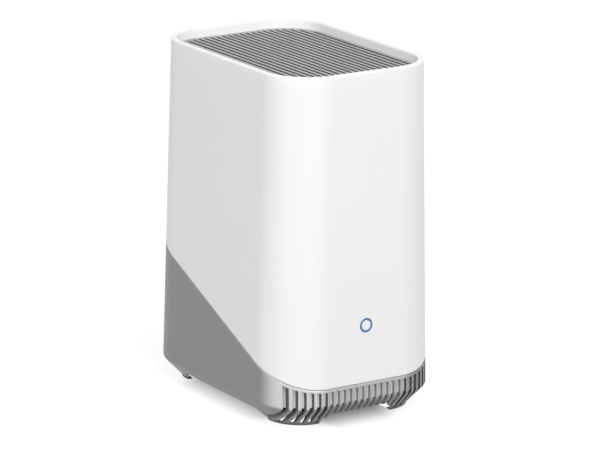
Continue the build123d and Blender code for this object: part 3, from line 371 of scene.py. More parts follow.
def comb_tree():
    """Geometry Nodes tree: take a row of boxes, clipped by a band, out of a piece."""
    tree = bpy.data.node_groups.new("cut_comb", "GeometryNodeTree")
    input_socket(tree, "Piece", "NodeSocketGeometry")
    input_socket(tree, "Band", "NodeSocketObject")
    input_socket(tree, "Count", "NodeSocketInt", 3)
    input_socket(tree, "First", "NodeSocketVector")
    input_socket(tree, "Pitch", "NodeSocketFloat", 4 * mm)
    input_socket(tree, "Slot size", "NodeSocketVector")
    input_socket(tree, "Finish", "NodeSocketMaterial")
    tree.interface.new_socket("Piece", in_out="OUTPUT", socket_type="NodeSocketGeometry")
    nodes, links = tree.nodes, tree.links
    given, result = nodes.new("NodeGroupInput"), nodes.new("NodeGroupOutput")
    row = nodes.new("GeometryNodeMeshLine")
    step = nodes.new("ShaderNodeCombineXYZ")
    box = nodes.new("GeometryNodeMeshCube")
    place = nodes.new("GeometryNodeInstanceOnPoints")
    real = nodes.new("GeometryNodeRealizeInstances")
    band = nodes.new("GeometryNodeObjectInfo")
    clip, cut = nodes.new("GeometryNodeMeshBoolean"), nodes.new("GeometryNodeMeshBoolean")
    finish = nodes.new("GeometryNodeSetMaterial")
    last = nodes.new("GeometryNodeRealizeInstances")
    clip.operation, cut.operation = "INTERSECT", "DIFFERENCE"
    clip.solver = cut.solver = "EXACT"
    links.new(given.outputs["Count"], row.inputs["Count"])
    links.new(given.outputs["First"], row.inputs["Start Location"])
    links.new(given.outputs["Pitch"], step.inputs["X"])
    links.new(step.outputs["Vector"], row.inputs["Offset"])
    links.new(given.outputs["Slot size"], box.inputs["Size"])
    links.new(row.outputs["Mesh"], place.inputs["Points"])
    links.new(box.outputs["Mesh"], place.inputs["Instance"])
    links.new(place.outputs["Instances"], real.inputs["Geometry"])
    links.new(given.outputs["Band"], band.inputs["Object"])
    links.new(real.outputs["Geometry"], clip.inputs["Mesh 2"])
    links.new(band.outputs["Geometry"], clip.inputs["Mesh 2"])
    links.new(given.outputs["Piece"], cut.inputs["Mesh 1"])
    links.new(clip.outputs["Mesh"], cut.inputs["Mesh 2"])
    links.new(cut.outputs["Mesh"], last.inputs["Geometry"])
    links.new(last.outputs["Geometry"], finish.inputs["Geometry"])
    links.new(given.outputs["Finish"], finish.inputs["Material"])
    links.new(finish.outputs["Geometry"], result.inputs["Piece"])
    return tree


CUT_COMB = comb_tree()
print("comb tree inputs:", [i.name for i in CUT_COMB.interface.items_tree if i.in_out == "INPUT"])

# %% [markdown]
# A tree does nothing until a modifier runs it on a piece. Its inputs have names for people, but the
# modifier knows them by the identifier of their sockets, so one helper looks each name up, sets the
# values before the first run, and keeps the result as the piece's plain mesh.

# %% Run a tree on a piece
def run_tree(piece, tree, values):
    """Run a tree on a piece with named values, and keep the result as its plain mesh."""
    modifier = piece.modifiers.new(tree.name, "NODES")
    modifier.node_group = tree
    for item in tree.interface.items_tree:
        if item.item_type == "SOCKET" and item.in_out == "INPUT" and item.name in values:
            modifier[item.identifier] = values[item.name]
    keep_result(piece)
    print(f"{tree.name} on {piece.name}: {len(piece.data.polygons)} faces")
    return piece

# %% [markdown]
# The slots of the base all have one width and stand on one even pitch, as the cutters in its mould do.
# They differ in length only, because the parting line slopes and the wall wraps round the corners. So
# the boxes are plain and tall, and a band gives the space that they may cut: the wall from just above
# the floor to just below the parting line, and nothing of the belly behind it.

# %% Cut the comb of the base
slot_pitch = 3.62 * mm
slot_width = 2.1 * mm
slot_count = 24
slot_below_parting = 1.5 * mm
slot_low = 1.3 * mm
cut_run = 1.0 * mm


def slot_band_rings():
    """Space that the slots may take: the wall only, and nothing of the belly behind it."""
    behind_wall = base_wall + skirt_gap / 2
    behind_foot = foot_wall + cut_run / 4
    return [
        ring(slot_low, foot_wall_low + cut_run),
        ring(slot_low, -cut_run),
        ring(bend_height, -cut_run),
        parting_ring(-slot_below_parting, -cut_run),
        parting_ring(-slot_below_parting, behind_wall),
        ring(bend_height, behind_wall),
        ring(belly_top, behind_wall),
        ring(belly_top, behind_foot),
    ]


band = wall("slot_band", slot_band_rings())
corner_y = depth / 2 - corner_radius
base = run_tree(
    base,
    CUT_COMB,
    {
        "Band": band,
        "Count": slot_count,
        "First": (-(slot_count - 1) / 2 * slot_pitch, -corner_y - depth / 2, height / 2),
        "Pitch": slot_pitch,
        "Slot size": (slot_width, depth, height * 2),
    },
)
bpy.data.objects.remove(band)
report(smooth(base))

# %% [markdown]
# What is added to the base or cut from it next has a simple outline: a circle or a rounded rectangle,
# drawn along one axis. So three helpers make such solids, and a fourth joins them to a piece or takes
# them out of it with an exact boolean, which keeps the thin walls closed.

# %% Solids to add or take away
turn_steps = 48


def prism(name, outline, axis, low, high):
    """Solid with a flat outline, drawn along an axis between two places."""
    spread = {"y": lambda u, v, w: (u, w, v), "z": lambda u, v, w: (u, v, w)}[axis]

    def build(bm):
        ends = [[bm.verts.new(spread(u, v, w)) for u, v in outline] for w in (low, high)]
        bm.faces.new(ends[0])
        bm.faces.new(ends[1])
        for k in range(len(outline)):
            j = (k + 1) % len(outline)
            bm.faces.new((ends[0][k], ends[0][j], ends[1][j], ends[1][k]))

    return make_piece(name, build)


def circle(middle, radius):
    """Points of a circle round a middle."""
    turns = [2 * math.pi * k / turn_steps for k in range(turn_steps)]
    return [(middle[0] + radius * math.cos(a), middle[1] + radius * math.sin(a)) for a in turns]


def rounded_box(low, high, radius):
    """Points of a rounded rectangle between two corners."""
    points = []
    corners = ((high[0], high[1]), (low[0], high[1]), (low[0], low[1]), (high[0], low[1]))
    for corner, (x, y) in enumerate(corners):
        cx = x - math.copysign(radius, x - (low[0] + high[0]) / 2)
        cy = y - math.copysign(radius, y - (low[1] + high[1]) / 2)
        for a in arc(round_steps):
            turn = a + corner * math.pi / 2
            points.append((cx + radius * math.cos(turn), cy + radius * math.sin(turn)))
    return points


def combine(piece, solids, operation):
    """Join solids into a piece, or take them out of it, and delete them."""
    for solid in solids:
        modifier = piece.modifiers.new("combine", "BOOLEAN")
        modifier.operation, modifier.solver, modifier.object = operation, "EXACT", solid
    keep_result(piece)
    for solid in solids:
        bpy.data.objects.remove(solid)
    return piece


print("a turned solid has", turn_steps, "sides")

# %% [markdown]
# The base is more than its wall. Four posts stand in its corners for the long screws, and the belly
# has an opening for the drive tray. At the rear three sockets, a button and a pinhole go through the
# wall, and the ring has its hole in the front of the shell. The sizes are read from the frame's own
# pieces where one fits in the hole, so that every gap stays true.

# %% Posts, port openings and belly opening
post_reach = 8.0 * mm
post_drop = 8.0 * mm
post_radius = 4.4 * mm
post_land = 5.0 * mm
bore_radius = 3.0 * mm
shank_bore = 1.6 * mm
port_gap = 0.25 * mm
button_gap = 0.2 * mm
button_flange = 1.0 * mm
pinhole_radius = 0.8 * mm
ring_radius = 3.7 * mm
ring_clearance = 0.05 * mm
cover_gap = 0.35 * mm
cover_round = 3.35 * mm
port_reach = 7.0 * mm
port_start = depth / 2 - port_reach
post_x = width / 2 - corner_radius + post_reach / math.sqrt(2)
post_y = depth / 2 - corner_radius + post_reach / math.sqrt(2)
four_corners = [(-1, -1), (1, -1), (-1, 1), (1, 1)]


def joint_level(end):
    """Height of a corner post: a little under the parting line."""
    return parting_front + parting_slope * (end * post_y + depth / 2) - post_drop


def port_hole(node, gap):
    """Opening in the rear wall with the outline of the socket that fills it."""
    low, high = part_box(node)
    outline = rounded_box((low[0] - gap, low[2] - gap), (high[0] + gap, high[2] + gap), 2 * gap)
    return prism("hole_" + node, outline, "y", port_start, depth)


def round_hole(node, grow):
    """Round opening in the rear wall over the middle of a node."""
    low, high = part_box(node)
    middle = ((low[0] + high[0]) / 2, (low[2] + high[2]) / 2)
    return prism("hole_" + node, circle(middle, grow), "y", port_start, depth)


button_low, button_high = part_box("sync_button")
button_radius = (button_high[0] - button_low[0]) / 2 - button_flange
posts, bores = [], []
for side, end in four_corners:
    place = (side * post_x, end * post_y)
    posts.append(prism("post", circle(place, post_radius), "z", belly_height + cut_run, joint_level(end)))
base = combine(base, posts, "UNION")
for side, end in four_corners:
    place = (side * post_x, end * post_y)
    bores.append(prism("bore", circle(place, bore_radius), "z", -cut_run, joint_level(end) - post_land))
    bores.append(prism("shank", circle(place, shank_bore), "z", belly_top, joint_level(end) + cut_run))
cover_low, cover_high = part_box("tray_cover")
cover_hole = rounded_box(
    (cover_low[0] - cover_gap, cover_low[1] - cover_gap),
    (cover_high[0] + cover_gap, cover_high[1] + cover_gap),
    cover_round,
)
bores.append(prism("cover_hole", cover_hole, "z", -cut_run, belly_top + cut_run))
bores += [port_hole(node, port_gap) for node in ("ethernet_jack", "usb_socket", "power_jack")]
bores.append(round_hole("sync_button", button_radius + button_gap))
bores.append(round_hole("reset_plunger", pinhole_radius))
base = report(smooth(combine(base, bores, "DIFFERENCE")))

ring_low, ring_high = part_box("status_ring")
ring_middle = ((ring_low[0] + ring_high[0]) / 2, (ring_low[2] + ring_high[2]) / 2)
ring_circle = circle(ring_middle, ring_radius + ring_clearance)
ring_hole = prism("ring_hole", ring_circle, "y", -depth, -depth / 2 + 2 * shell_wall)
shell = report(smooth(combine(shell, [ring_hole], "DIFFERENCE")))

# %% [markdown]
# The grille is a flat plate with the same outline as the sunk top. Its slats run from front to back,
# so the comb's boxes are clipped to a smaller copy of that outline, which leaves a border all round.
# The same tree that cut the base cuts it, with other sizes. Two ribs under it tie the slats together.

# %% Slatted grille
grille_pitch = 3.52 * mm
grille_gap = 1.6 * mm
grille_count = 23
grille_border = 2.0 * mm
grille_clearance = 0.2 * mm
grille_rib_spread = 76.0 * mm
grille_rib_width = 1.4 * mm
grille_rib_height = 2.5 * mm
grille_round = 0.15 * mm
grille_top = height - grille_recess
grille_bottom = grille_top - grille_thickness
grille_inset = shell_wall + grille_clearance


def slab(name, low, high, inset):
    """Solid slab that follows the body's outline between two levels."""
    return wall(name, [ring(low, inset), ring(high, inset)], closed=False)


grille = slab("grille_slats", grille_bottom, grille_top, grille_inset)
inside = slab("inside", grille_bottom - cut_run, grille_top + cut_run, grille_inset + grille_border)
grille = run_tree(
    grille,
    CUT_COMB,
    {
        "Band": inside,
        "Count": grille_count,
        "First": (-(grille_count - 1) / 2 * grille_pitch, 0, grille_top),
        "Pitch": grille_pitch,
        "Slot size": (grille_gap, depth * 2, height),
    },
)
bpy.data.objects.remove(inside)
rib_half = width / 2 - side_lean - grille_inset - ledge_width
ribs = []
for side in (-1, 1):
    y = side * grille_rib_spread / 2
    outline = [(-rib_half, y - grille_rib_width / 2), (rib_half, y - grille_rib_width / 2)]
    outline += [(rib_half, y + grille_rib_width / 2), (-rib_half, y + grille_rib_width / 2)]
    ribs.append(prism("rib", outline, "z", grille_bottom - grille_rib_height, grille_bottom + cut_run / 2))
grille = combine(grille, ribs, "UNION")


def bevel(piece, size, degrees=40, steps=2):
    """Round the sharp edges of a piece, and keep the result."""
    modifier = piece.modifiers.new("bevel", "BEVEL")
    modifier.width, modifier.segments = size, steps
    modifier.limit_method, modifier.angle_limit = "ANGLE", math.radians(degrees)
    modifier.use_clamp_overlap = True
    return keep_result(piece)


grille = report(smooth(bevel(grille, grille_round)))

# %% [markdown]
# Small bought-in pieces such as sockets, screws and the drive keep the frame's shape. The frame's
# meshes are plain triangles with sharp edges, though, and nothing real is that sharp. So each piece
# that can be seen gets a dressed copy: triangles in one plane are merged, the edges get a small
# round, and the copy stands in for the node on the same moving body.

# %% Dressed copies of the small pieces
same_corner = 0.002 * mm
same_plane = math.radians(1)


def body_of(node):
    """Name of the moving body that carries a node."""
    for body, nodes in frame["record"]["behaviour"]["bodies"].items():
        if node in nodes:
            return body
    return "root"


def dress(node, size):
    """Copy of a node with merged planes and softened edges, riding on the same body."""
    mesh = frame["nodes"][node].data.copy()
    bm = bmesh.new()
    bm.from_mesh(mesh)
    bmesh.ops.remove_doubles(bm, verts=bm.verts, dist=same_corner)
    bmesh.ops.dissolve_limit(bm, angle_limit=same_plane, verts=bm.verts, edges=bm.edges)
    bm.to_mesh(mesh)
    bm.free()
    copy = bpy.data.objects.new(node + "_dressed", mesh)
    bpy.context.scene.collection.objects.link(copy)
    if size:
        bevel(copy, size)
    smooth(copy)
    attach(copy, body_of(node))
    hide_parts(node)
    return copy


EDGE_ROUNDS = {
    "status_ring": 0.12 * mm,
    "foot_pads": 0.1 * mm,
    "tray_cover": 0.2 * mm,
    "tray_screw": 0.15 * mm,
    "housing_screws": 0.15 * mm,
    "sync_button": 0,
    "ethernet_jack": 0.12 * mm,
    "usb_socket": 0.06 * mm,
    "usb_tongue": 0.08 * mm,
    "power_jack": 0.12 * mm,
    "power_pin": 0.1 * mm,
    "reset_plunger": 0.1 * mm,
    "storage_drive": 0.2 * mm,
    "drive_tray": 0.1 * mm,
    "drive_screws": 0.08 * mm,
}
dressed = {node: dress(node, size) for node, size in EDGE_ROUNDS.items()}
for node, piece in dressed.items():
    print(f"{node}: {len(piece.data.polygons)} faces")

# %% [markdown]
# The look of moulded plastic is mostly in how its roughness and height vary. Two small shader groups
# hold what several finishes share: a fine grain, which brushed metal uses stretched along one axis,
# and the traces of a printed board. They give out only colours, roughness and heights. The shader
# itself, with its constant values, stays in each material, so that one can be changed alone.

# %% Shader group for a fine grain
cloud_scale = 35.0
cloud_detail = 3.0
grain_detail = 2.0


def group_input(group, name, kind, default):
    """Input of a shader group with its default value."""
    group.interface.new_socket(name, in_out="INPUT", socket_type=kind).default_value = default


def group_outputs(group, outputs):
    """Outputs of a shader group, each with its name and kind."""
    for name, kind in outputs:
        group.interface.new_socket(name, in_out="OUTPUT", socket_type=kind)


def grain_group():
    """Fine grain: tone and roughness wander between two values, with a height for the bump."""
    group = bpy.data.node_groups.new("fine_grain", "ShaderNodeTree")
    group.interface.new_socket("Vector", in_out="INPUT", socket_type="NodeSocketVector")
    group_input(group, "Tone low", "NodeSocketColor", (0.5, 0.5, 0.5, 1))
    group_input(group, "Tone high", "NodeSocketColor", (0.5, 0.5, 0.5, 1))
    group_input(group, "Rough low", "NodeSocketFloat", 0.4)
    group_input(group, "Rough high", "NodeSocketFloat", 0.5)
    group_input(group, "Grain", "NodeSocketFloat", 1500.0)
    outputs = (("Color", "NodeSocketColor"), ("Roughness", "NodeSocketFloat"), ("Height", "NodeSocketFloat"))
    group_outputs(group, outputs)
    nodes, links = group.nodes, group.links
    given, result = nodes.new("NodeGroupInput"), nodes.new("NodeGroupOutput")
    cloud, grain = nodes.new("ShaderNodeTexNoise"), nodes.new("ShaderNodeTexNoise")
    tone, rough = nodes.new("ShaderNodeMix"), nodes.new("ShaderNodeMapRange")
    tone.data_type = "RGBA"
    cloud.inputs["Scale"].default_value = cloud_scale
    cloud.inputs["Detail"].default_value = cloud_detail
    grain.inputs["Detail"].default_value = grain_detail
    links.new(given.outputs["Vector"], cloud.inputs["Vector"])
    links.new(given.outputs["Vector"], grain.inputs["Vector"])
    links.new(given.outputs["Grain"], grain.inputs["Scale"])
    links.new(cloud.outputs["Fac"], tone.inputs["Factor"])
    links.new(given.outputs["Tone low"], tone.inputs["A"])
    links.new(given.outputs["Tone high"], tone.inputs["B"])
    links.new(cloud.outputs["Fac"], rough.inputs["Value"])
    links.new(given.outputs["Rough low"], rough.inputs["To Min"])
    links.new(given.outputs["Rough high"], rough.inputs["To Max"])
    links.new(tone.outputs["Result"], result.inputs["Color"])
    links.new(rough.outputs["Result"], result.inputs["Roughness"])
    links.new(grain.outputs["Fac"], result.inputs["Height"])
    return group


GRAIN = grain_group()
print("shader group:", GRAIN.name)

# %% [markdown]
# A circuit board shows pale copper traces under a green mask, in straight runs with square corners.
# A Voronoi pattern that measures distance in squares has just such edges, and its border, cut to a
# narrow band, gives the traces their colour and a little height.

# %% Shader group for a printed board
trace_scale = 180.0
trace_edge = (0.62, 0.66)


def print_group():
    """Printed board: pale traces on a solder mask, as a colour and a height."""
    group = bpy.data.node_groups.new("board_print", "ShaderNodeTree")
    group.interface.new_socket("Vector", in_out="INPUT", socket_type="NodeSocketVector")
    group_input(group, "Mask", "NodeSocketColor", (0.03, 0.16, 0.09, 1))
    group_input(group, "Trace", "NodeSocketColor", (0.06, 0.26, 0.14, 1))
    group_outputs(group, (("Color", "NodeSocketColor"), ("Height", "NodeSocketFloat")))
    nodes, links = group.nodes, group.links
    given, result = nodes.new("NodeGroupInput"), nodes.new("NodeGroupOutput")
    cells, edge = nodes.new("ShaderNodeTexVoronoi"), nodes.new("ShaderNodeMapRange")
    tone = nodes.new("ShaderNodeMix")
    cells.distance = "CHEBYCHEV"
    cells.feature = "F2"
    cells.inputs["Scale"].default_value = trace_scale
    edge.inputs["From Min"].default_value = trace_edge[0]
    edge.inputs["From Max"].default_value = trace_edge[1]
    tone.data_type = "RGBA"
    links.new(given.outputs["Vector"], cells.inputs["Vector"])
    links.new(cells.outputs["Distance"], edge.inputs["Value"])
    links.new(edge.outputs["Result"], tone.inputs["Factor"])
    links.new(given.outputs["Mask"], tone.inputs["A"])
    links.new(given.outputs["Trace"], tone.inputs["B"])
    links.new(tone.outputs["Result"], result.inputs["Color"])
    links.new(edge.outputs["Result"], result.inputs["Height"])
    return group


PRINT = print_group()
print("shader group:", PRINT.name)

# %% [markdown]
# One function makes a material from a row of plain values: two tones, two roughnesses, how metallic
# it is, how coarse its grain, how deep its bump and how much the grain is stretched. The big mouldings
# also get a bevel normal, which softens edges that are too fine to be rounded in the mesh.
#
# The grey of the base is a silver finish: fine metal flakes lie flat in it. Such a finish looks pale
# where it faces the eye and darker where it turns away. Most of that comes from the metallic shader
# and the lamps. On top of that a painted sheen dims the tone: a Layer Weight node gives the share by
# how far the surface turns away from the eye.

# %% Finish from a row of values
bump_depth = 0.1 * mm
edge_samples = 4
painted_sheen_facing = 0.06
painted_sheen_turned = 0.38


def new_finish(name):
    """New material with its nodes, its links and its shader."""
    material = bpy.data.materials.new(name)
    material.use_nodes = True
    nodes, links = material.node_tree.nodes, material.node_tree.links
    return material, nodes, links, nodes["Principled BSDF"]


def painted_sheen(nodes, links, normal, tone, shader, painted_sheen_dim):
    """Painted sheen: dim the tone of a silver finish where it turns away from the eye."""
    sheen, share = nodes.new("ShaderNodeLayerWeight"), nodes.new("ShaderNodeMapRange")
    dim = nodes.new("ShaderNodeVectorMath")
    dim.operation = "SCALE"
    share.interpolation_type = "SMOOTHSTEP"
    share.inputs["From Min"].default_value = painted_sheen_facing
    share.inputs["From Max"].default_value = painted_sheen_turned
    share.inputs["To Min"].default_value = 1.0
    share.inputs["To Max"].default_value = painted_sheen_dim
    links.new(normal, sheen.inputs["Normal"])
    links.new(sheen.outputs["Facing"], share.inputs["Value"])
    links.new(tone, dim.inputs[0])
    links.new(share.outputs["Result"], dim.inputs["Scale"])
    links.new(dim.outputs["Vector"], shader.inputs["Base Color"])


def finish_material(
    slot, tones, rough, metal=0.0, grain=1500.0, bump=0.03, stretch=(1, 1, 1), soft=0.0, painted_sheen_dim=None
):
    """Principled material with a wandering tone and roughness and a grain bump."""
    material, nodes, links, shader = new_finish(slot)
    place, turn = nodes.new("ShaderNodeTexCoord"), nodes.new("ShaderNodeMapping")
    effect, height_map = nodes.new("ShaderNodeGroup"), nodes.new("ShaderNodeBump")
    effect.node_tree = GRAIN
    effect.inputs["Tone low"].default_value = (*tones[0], 1)
    effect.inputs["Tone high"].default_value = (*tones[1], 1)
    effect.inputs["Rough low"].default_value = rough[0]
    effect.inputs["Rough high"].default_value = rough[1]
    effect.inputs["Grain"].default_value = grain
    turn.inputs["Scale"].default_value = stretch
    height_map.inputs["Strength"].default_value = bump
    height_map.inputs["Distance"].default_value = bump_depth
    shader.inputs["Metallic"].default_value = metal
    links.new(place.outputs["Object"], turn.inputs["Vector"])
    links.new(turn.outputs["Vector"], effect.inputs["Vector"])
    links.new(effect.outputs["Color"], shader.inputs["Base Color"])
    links.new(effect.outputs["Roughness"], shader.inputs["Roughness"])
    links.new(effect.outputs["Height"], height_map.inputs["Height"])
    links.new(height_map.outputs["Normal"], shader.inputs["Normal"])
    if soft:
        edge = nodes.new("ShaderNodeBevel")
        edge.samples = edge_samples
        edge.inputs["Radius"].default_value = soft
        links.new(edge.outputs["Normal"], height_map.inputs["Normal"])
    # painted sheen: the tone dims where the surface turns away from the eye
    if painted_sheen_dim:
        painted_sheen(nodes, links, edge.outputs["Normal"], effect.outputs["Color"], shader, painted_sheen_dim)
    return material

# %% [markdown]
# Now each slot of the record gets its row: moulded plastics in white, grey and black, rubber, plated
# steel, cast metal, the tin of a shield, the gold of contacts, foam and film. The two tones of a row
# are close together, because a clean new product varies only a little.

# %% Materials by slot
def grey(low, high=None):
    """A pair of neutral tones."""
    high = low * 1.03 if high is None else high
    return ((low, low, low * 1.01), (high, high, high * 1.01))


FINISHES = {
    "white_plastic": dict(tones=grey(0.83, 0.85), rough=(0.36, 0.42), grain=2500, bump=0.02, soft=0.2 * mm),
    "grey_plastic": dict(
        tones=grey(0.50, 0.515),
        rough=(0.42, 0.48),
        metal=0.9,
        grain=3000,
        bump=0.03,
        soft=0.25 * mm,
        # painted sheen: the tone falls to this share where the grey turns away from the eye
        painted_sheen_dim=0.46,
    ),
    "grille_plastic": dict(tones=grey(0.36, 0.38), rough=(0.4, 0.48), metal=0.1, grain=2500, bump=0.03),
    "dark_rubber": dict(tones=grey(0.11, 0.13), rough=(0.7, 0.85), grain=1200, bump=0.1),
    "lamp_resin": dict(tones=((0.8, 0.8, 0.68), (0.84, 0.84, 0.74)), rough=(0.15, 0.2), bump=0.01),
    "steel": dict(
        tones=grey(0.5, 0.56), rough=(0.28, 0.4), metal=1.0, grain=900, bump=0.05, stretch=(1, 1, 8)
    ),
    "steel_sheet": dict(
        tones=grey(0.58, 0.63), rough=(0.3, 0.42), metal=1.0, grain=700, bump=0.05, stretch=(1, 12, 1)
    ),
    "cast_metal": dict(tones=grey(0.62, 0.7), rough=(0.42, 0.55), metal=1.0, grain=1400, bump=0.12),
    "black_plastic": dict(tones=grey(0.025, 0.035), rough=(0.42, 0.52), grain=2200, bump=0.04),
    "chip_resin": dict(tones=grey(0.03, 0.045), rough=(0.5, 0.62), grain=3000, bump=0.08),
    "pad_rubber": dict(tones=((0.42, 0.47, 0.52), (0.47, 0.52, 0.57)), rough=(0.7, 0.8), bump=0.06),
    "shield_metal": dict(
        tones=grey(0.62, 0.68), rough=(0.25, 0.36), metal=1.0, grain=600, bump=0.04, stretch=(10, 1, 1)
    ),
    "contact_metal": dict(
        tones=((0.78, 0.6, 0.26), (0.84, 0.66, 0.3)), rough=(0.2, 0.28), metal=1.0, bump=0.02
    ),
    "cone_plastic": dict(tones=grey(0.04, 0.06), rough=(0.6, 0.7), grain=1500, bump=0.1),
    "foam": dict(tones=grey(0.06, 0.1), rough=(0.85, 0.95), grain=900, bump=0.3),
    "antenna_film": dict(tones=grey(0.08, 0.11), rough=(0.35, 0.5), grain=2000, bump=0.05),
    "lead_black": dict(tones=grey(0.02, 0.035), rough=(0.4, 0.5), grain=1500, bump=0.04),
    "cable_white": dict(tones=grey(0.76, 0.8), rough=(0.35, 0.45), grain=1500, bump=0.03),
}
SLOTS = {slot: finish_material(slot, **values) for slot, values in FINISHES.items()}
print(len(SLOTS), "finishes")

# %% [markdown]
# Two finishes need more than a row of values. The boards carry the printed pattern. The ring is a
# light guide: its blue is mostly its own colour, and a weak light of its own keeps it bright where
# the shell around it is in shade. The walls inside the slots get darker finishes of their own, which
# paint in the shade that falls there.

# %% Board, ring and painted shade in the slots
board_rough = 0.3
trace_bump = 0.3


def board_material():
    """Circuit board: printed traces under a clear, slightly glossy mask."""
    material, nodes, links, shader = new_finish("circuit_board")
    place, traces = nodes.new("ShaderNodeTexCoord"), nodes.new("ShaderNodeGroup")
    height_map = nodes.new("ShaderNodeBump")
    traces.node_tree = PRINT
    shader.inputs["Roughness"].default_value = board_rough
    height_map.inputs["Strength"].default_value = trace_bump
    height_map.inputs["Distance"].default_value = bump_depth
    links.new(place.outputs["Object"], traces.inputs["Vector"])
    links.new(traces.outputs["Color"], shader.inputs["Base Color"])
    links.new(traces.outputs["Height"], height_map.inputs["Height"])
    links.new(height_map.outputs["Normal"], shader.inputs["Normal"])
    return material


ring_tones = ((0.02, 0.11, 0.23), (0.028, 0.125, 0.25))
ring_glow = (0.02, 0.09, 0.22, 1)
ring_strength = 0.75


def ring_material():
    """Lit light guide: blue, smooth, with a little light of its own."""
    material = finish_material("ring_light", ring_tones, (0.25, 0.32), bump=0.02)
    shader = material.node_tree.nodes["Principled BSDF"]
    shader.inputs["Emission Color"].default_value = ring_glow
    shader.inputs["Emission Strength"].default_value = ring_strength
    return material


SLOTS["circuit_board"] = board_material()
SLOTS["ring_light"] = ring_material()
# painted shade: the walls in the base's slots and between the grille's slats get darker finishes
SHADED_CUT_WALLS = {
    "base_housing": finish_material("grey_cut", grey(0.4, 0.41), (0.5, 0.6), grain=2000, bump=0.05),
    "top_grille": finish_material("grille_cut_shade", grey(0.06, 0.07), (0.55, 0.65), grain=2000, bump=0.05),
}
# painted shade: the deep slot walls round the base's corners get a darker finish still
DEEP_CUT_SHADE = finish_material("grey_cut_deep_shade", grey(0.12, 0.13), (0.5, 0.6), grain=2000, bump=0.05)
print(len(SLOTS) + len(SHADED_CUT_WALLS) + 1, "materials in all")

# %% [markdown]
# The record says which slot each node belongs to. Every piece made here takes the slot of the node
# that it stands for, and every other node gets its slot's material too, so nothing stays bare when
# the tray is drawn out or a copy is cut open.
#
# The walls inside a slot get a matt finish without silver, darker than the outside, as painted shade
# for the slots. The walls between the grille's slats are painted dark as shade, too. Round the corners
# of the base the slots run deep into the wall, and a darker finish there paints deeper shade.

# %% Give every piece its slot
slot_wall_normal = 0.99
slot_span = slot_count * slot_pitch
slot_of = {item["node"]: item["material_slot"] for item in frame["record"]["subparts"]}
skins = {"upper_shell": shell, "base_housing": base, "top_grille": grille}
for node, piece in skins.items():
    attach(piece, "root")
    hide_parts(node)
for node, piece in {**skins, **dressed}.items():
    piece.data.materials.clear()
    piece.data.materials.append(SLOTS[slot_of[node]])
for node, material in SHADED_CUT_WALLS.items():
    skins[node].data.materials.append(material)
# paint shade on the side walls of the grille's slats
for face in grille.data.polygons:
    if abs(face.normal.x) > slot_wall_normal and abs(face.center.x) < slot_span / 2:
        face.material_index = 1
base.data.materials.append(DEEP_CUT_SHADE)
# paint shade on the walls inside the base's slots, darker round the corners
for face in base.data.polygons:
    in_comb = abs(face.center.x) < slot_span / 2 and face.center.y < -corner_y
    if abs(face.normal.x) > slot_wall_normal and in_comb:
        face.material_index = 2 if abs(face.center.x) > width / 2 - corner_radius else 1
for node, piece in frame["nodes"].items():
    if node not in skins and node not in dressed:
        piece.data.materials.clear()
        piece.data.materials.append(SLOTS[slot_of[node]])
print("nodes with a material:", len(frame["nodes"]))

# %% [markdown]
# The picture is taken on a pale floor under soft light. The floor is a plain grey surface that adds
# light of its own, but only for the camera and for rays that reach the eye by a reflection or through
# something clear. That light is weak near the body and strong away from it, so it paints a soft contact
# shadow round the body over the real one. It keeps the floor white at the edges of the picture and sheds
# no extra light on the object.

# %% Floor
def ray_mask(nodes, links):
    """One for camera, glossy and transmission rays, nothing for the rest."""
    path = nodes.new("ShaderNodeLightPath")
    first, second = nodes.new("ShaderNodeMath"), nodes.new("ShaderNodeMath")
    first.operation = second.operation = "MAXIMUM"
    links.new(path.outputs["Is Camera Ray"], first.inputs[0])
    links.new(path.outputs["Is Glossy Ray"], first.inputs[1])
    links.new(first.outputs["Value"], second.inputs[0])
    links.new(path.outputs["Is Transmission Ray"], second.inputs[1])
    return second.outputs["Value"]


floor_size = 6.0
floor_tone = 0.3
floor_rough = 0.9
white = (1, 1, 1, 1)
glow_near = 0.15
glow_far = 0.8
near_reach = 9.0 * mm
far_reach = 42.0 * mm
painted_shadow_inset = 34.0 * mm
painted_shadow_shape = (1.1, 0.9, 0)


def pale_finish(name, gloss):
    """Pale matt material with white light of its own. How strong it is comes later."""
    material, nodes, links, shader = new_finish(name)
    shader.inputs["Base Color"].default_value = (floor_tone, floor_tone, floor_tone, 1)
    shader.inputs["Roughness"].default_value = floor_rough
    shader.inputs["Specular IOR Level"].default_value = gloss
    shader.inputs["Emission Color"].default_value = white
    return material, nodes, links, shader


floor = make_piece("floor", lambda bm: bmesh.ops.create_grid(bm, x_segments=1, y_segments=1, size=floor_size))
floor_material, nodes, links, shader = pale_finish("floor", 0.0)
place, reach, strength = (nodes.new("ShaderNode" + kind) for kind in ("TexCoord", "MapRange", "Math"))
fold, beyond, outside, away = (nodes.new("ShaderNodeVectorMath") for _ in range(4))
fold.operation, beyond.operation = "ABSOLUTE", "SUBTRACT"
outside.operation, away.operation = "MAXIMUM", "DOT_PRODUCT"
strength.operation = "MULTIPLY"
# painted shadow: the glow is weak inside a chamfered rectangle round the body and grows away from it
beyond.inputs[1].default_value = (width / 2 - painted_shadow_inset, depth / 2 - painted_shadow_inset, 0)
away.inputs[1].default_value = painted_shadow_shape
reach.interpolation_type = "SMOOTHSTEP"
reach.inputs["From Min"].default_value = near_reach
reach.inputs["From Max"].default_value = far_reach
reach.inputs["To Min"].default_value = glow_near
reach.inputs["To Max"].default_value = glow_far
links.new(place.outputs["Object"], fold.inputs[0])
links.new(fold.outputs["Vector"], beyond.inputs[0])
links.new(beyond.outputs["Vector"], outside.inputs[0])
links.new(outside.outputs["Vector"], away.inputs[0])
links.new(away.outputs["Value"], reach.inputs["Value"])
links.new(reach.outputs["Result"], strength.inputs[0])
links.new(ray_mask(nodes, links), strength.inputs[1])
links.new(strength.outputs["Value"], shader.inputs["Emission Strength"])
floor.data.materials.append(floor_material)
print("floor glow:", glow_near, "near the body,", glow_far, "away from it")
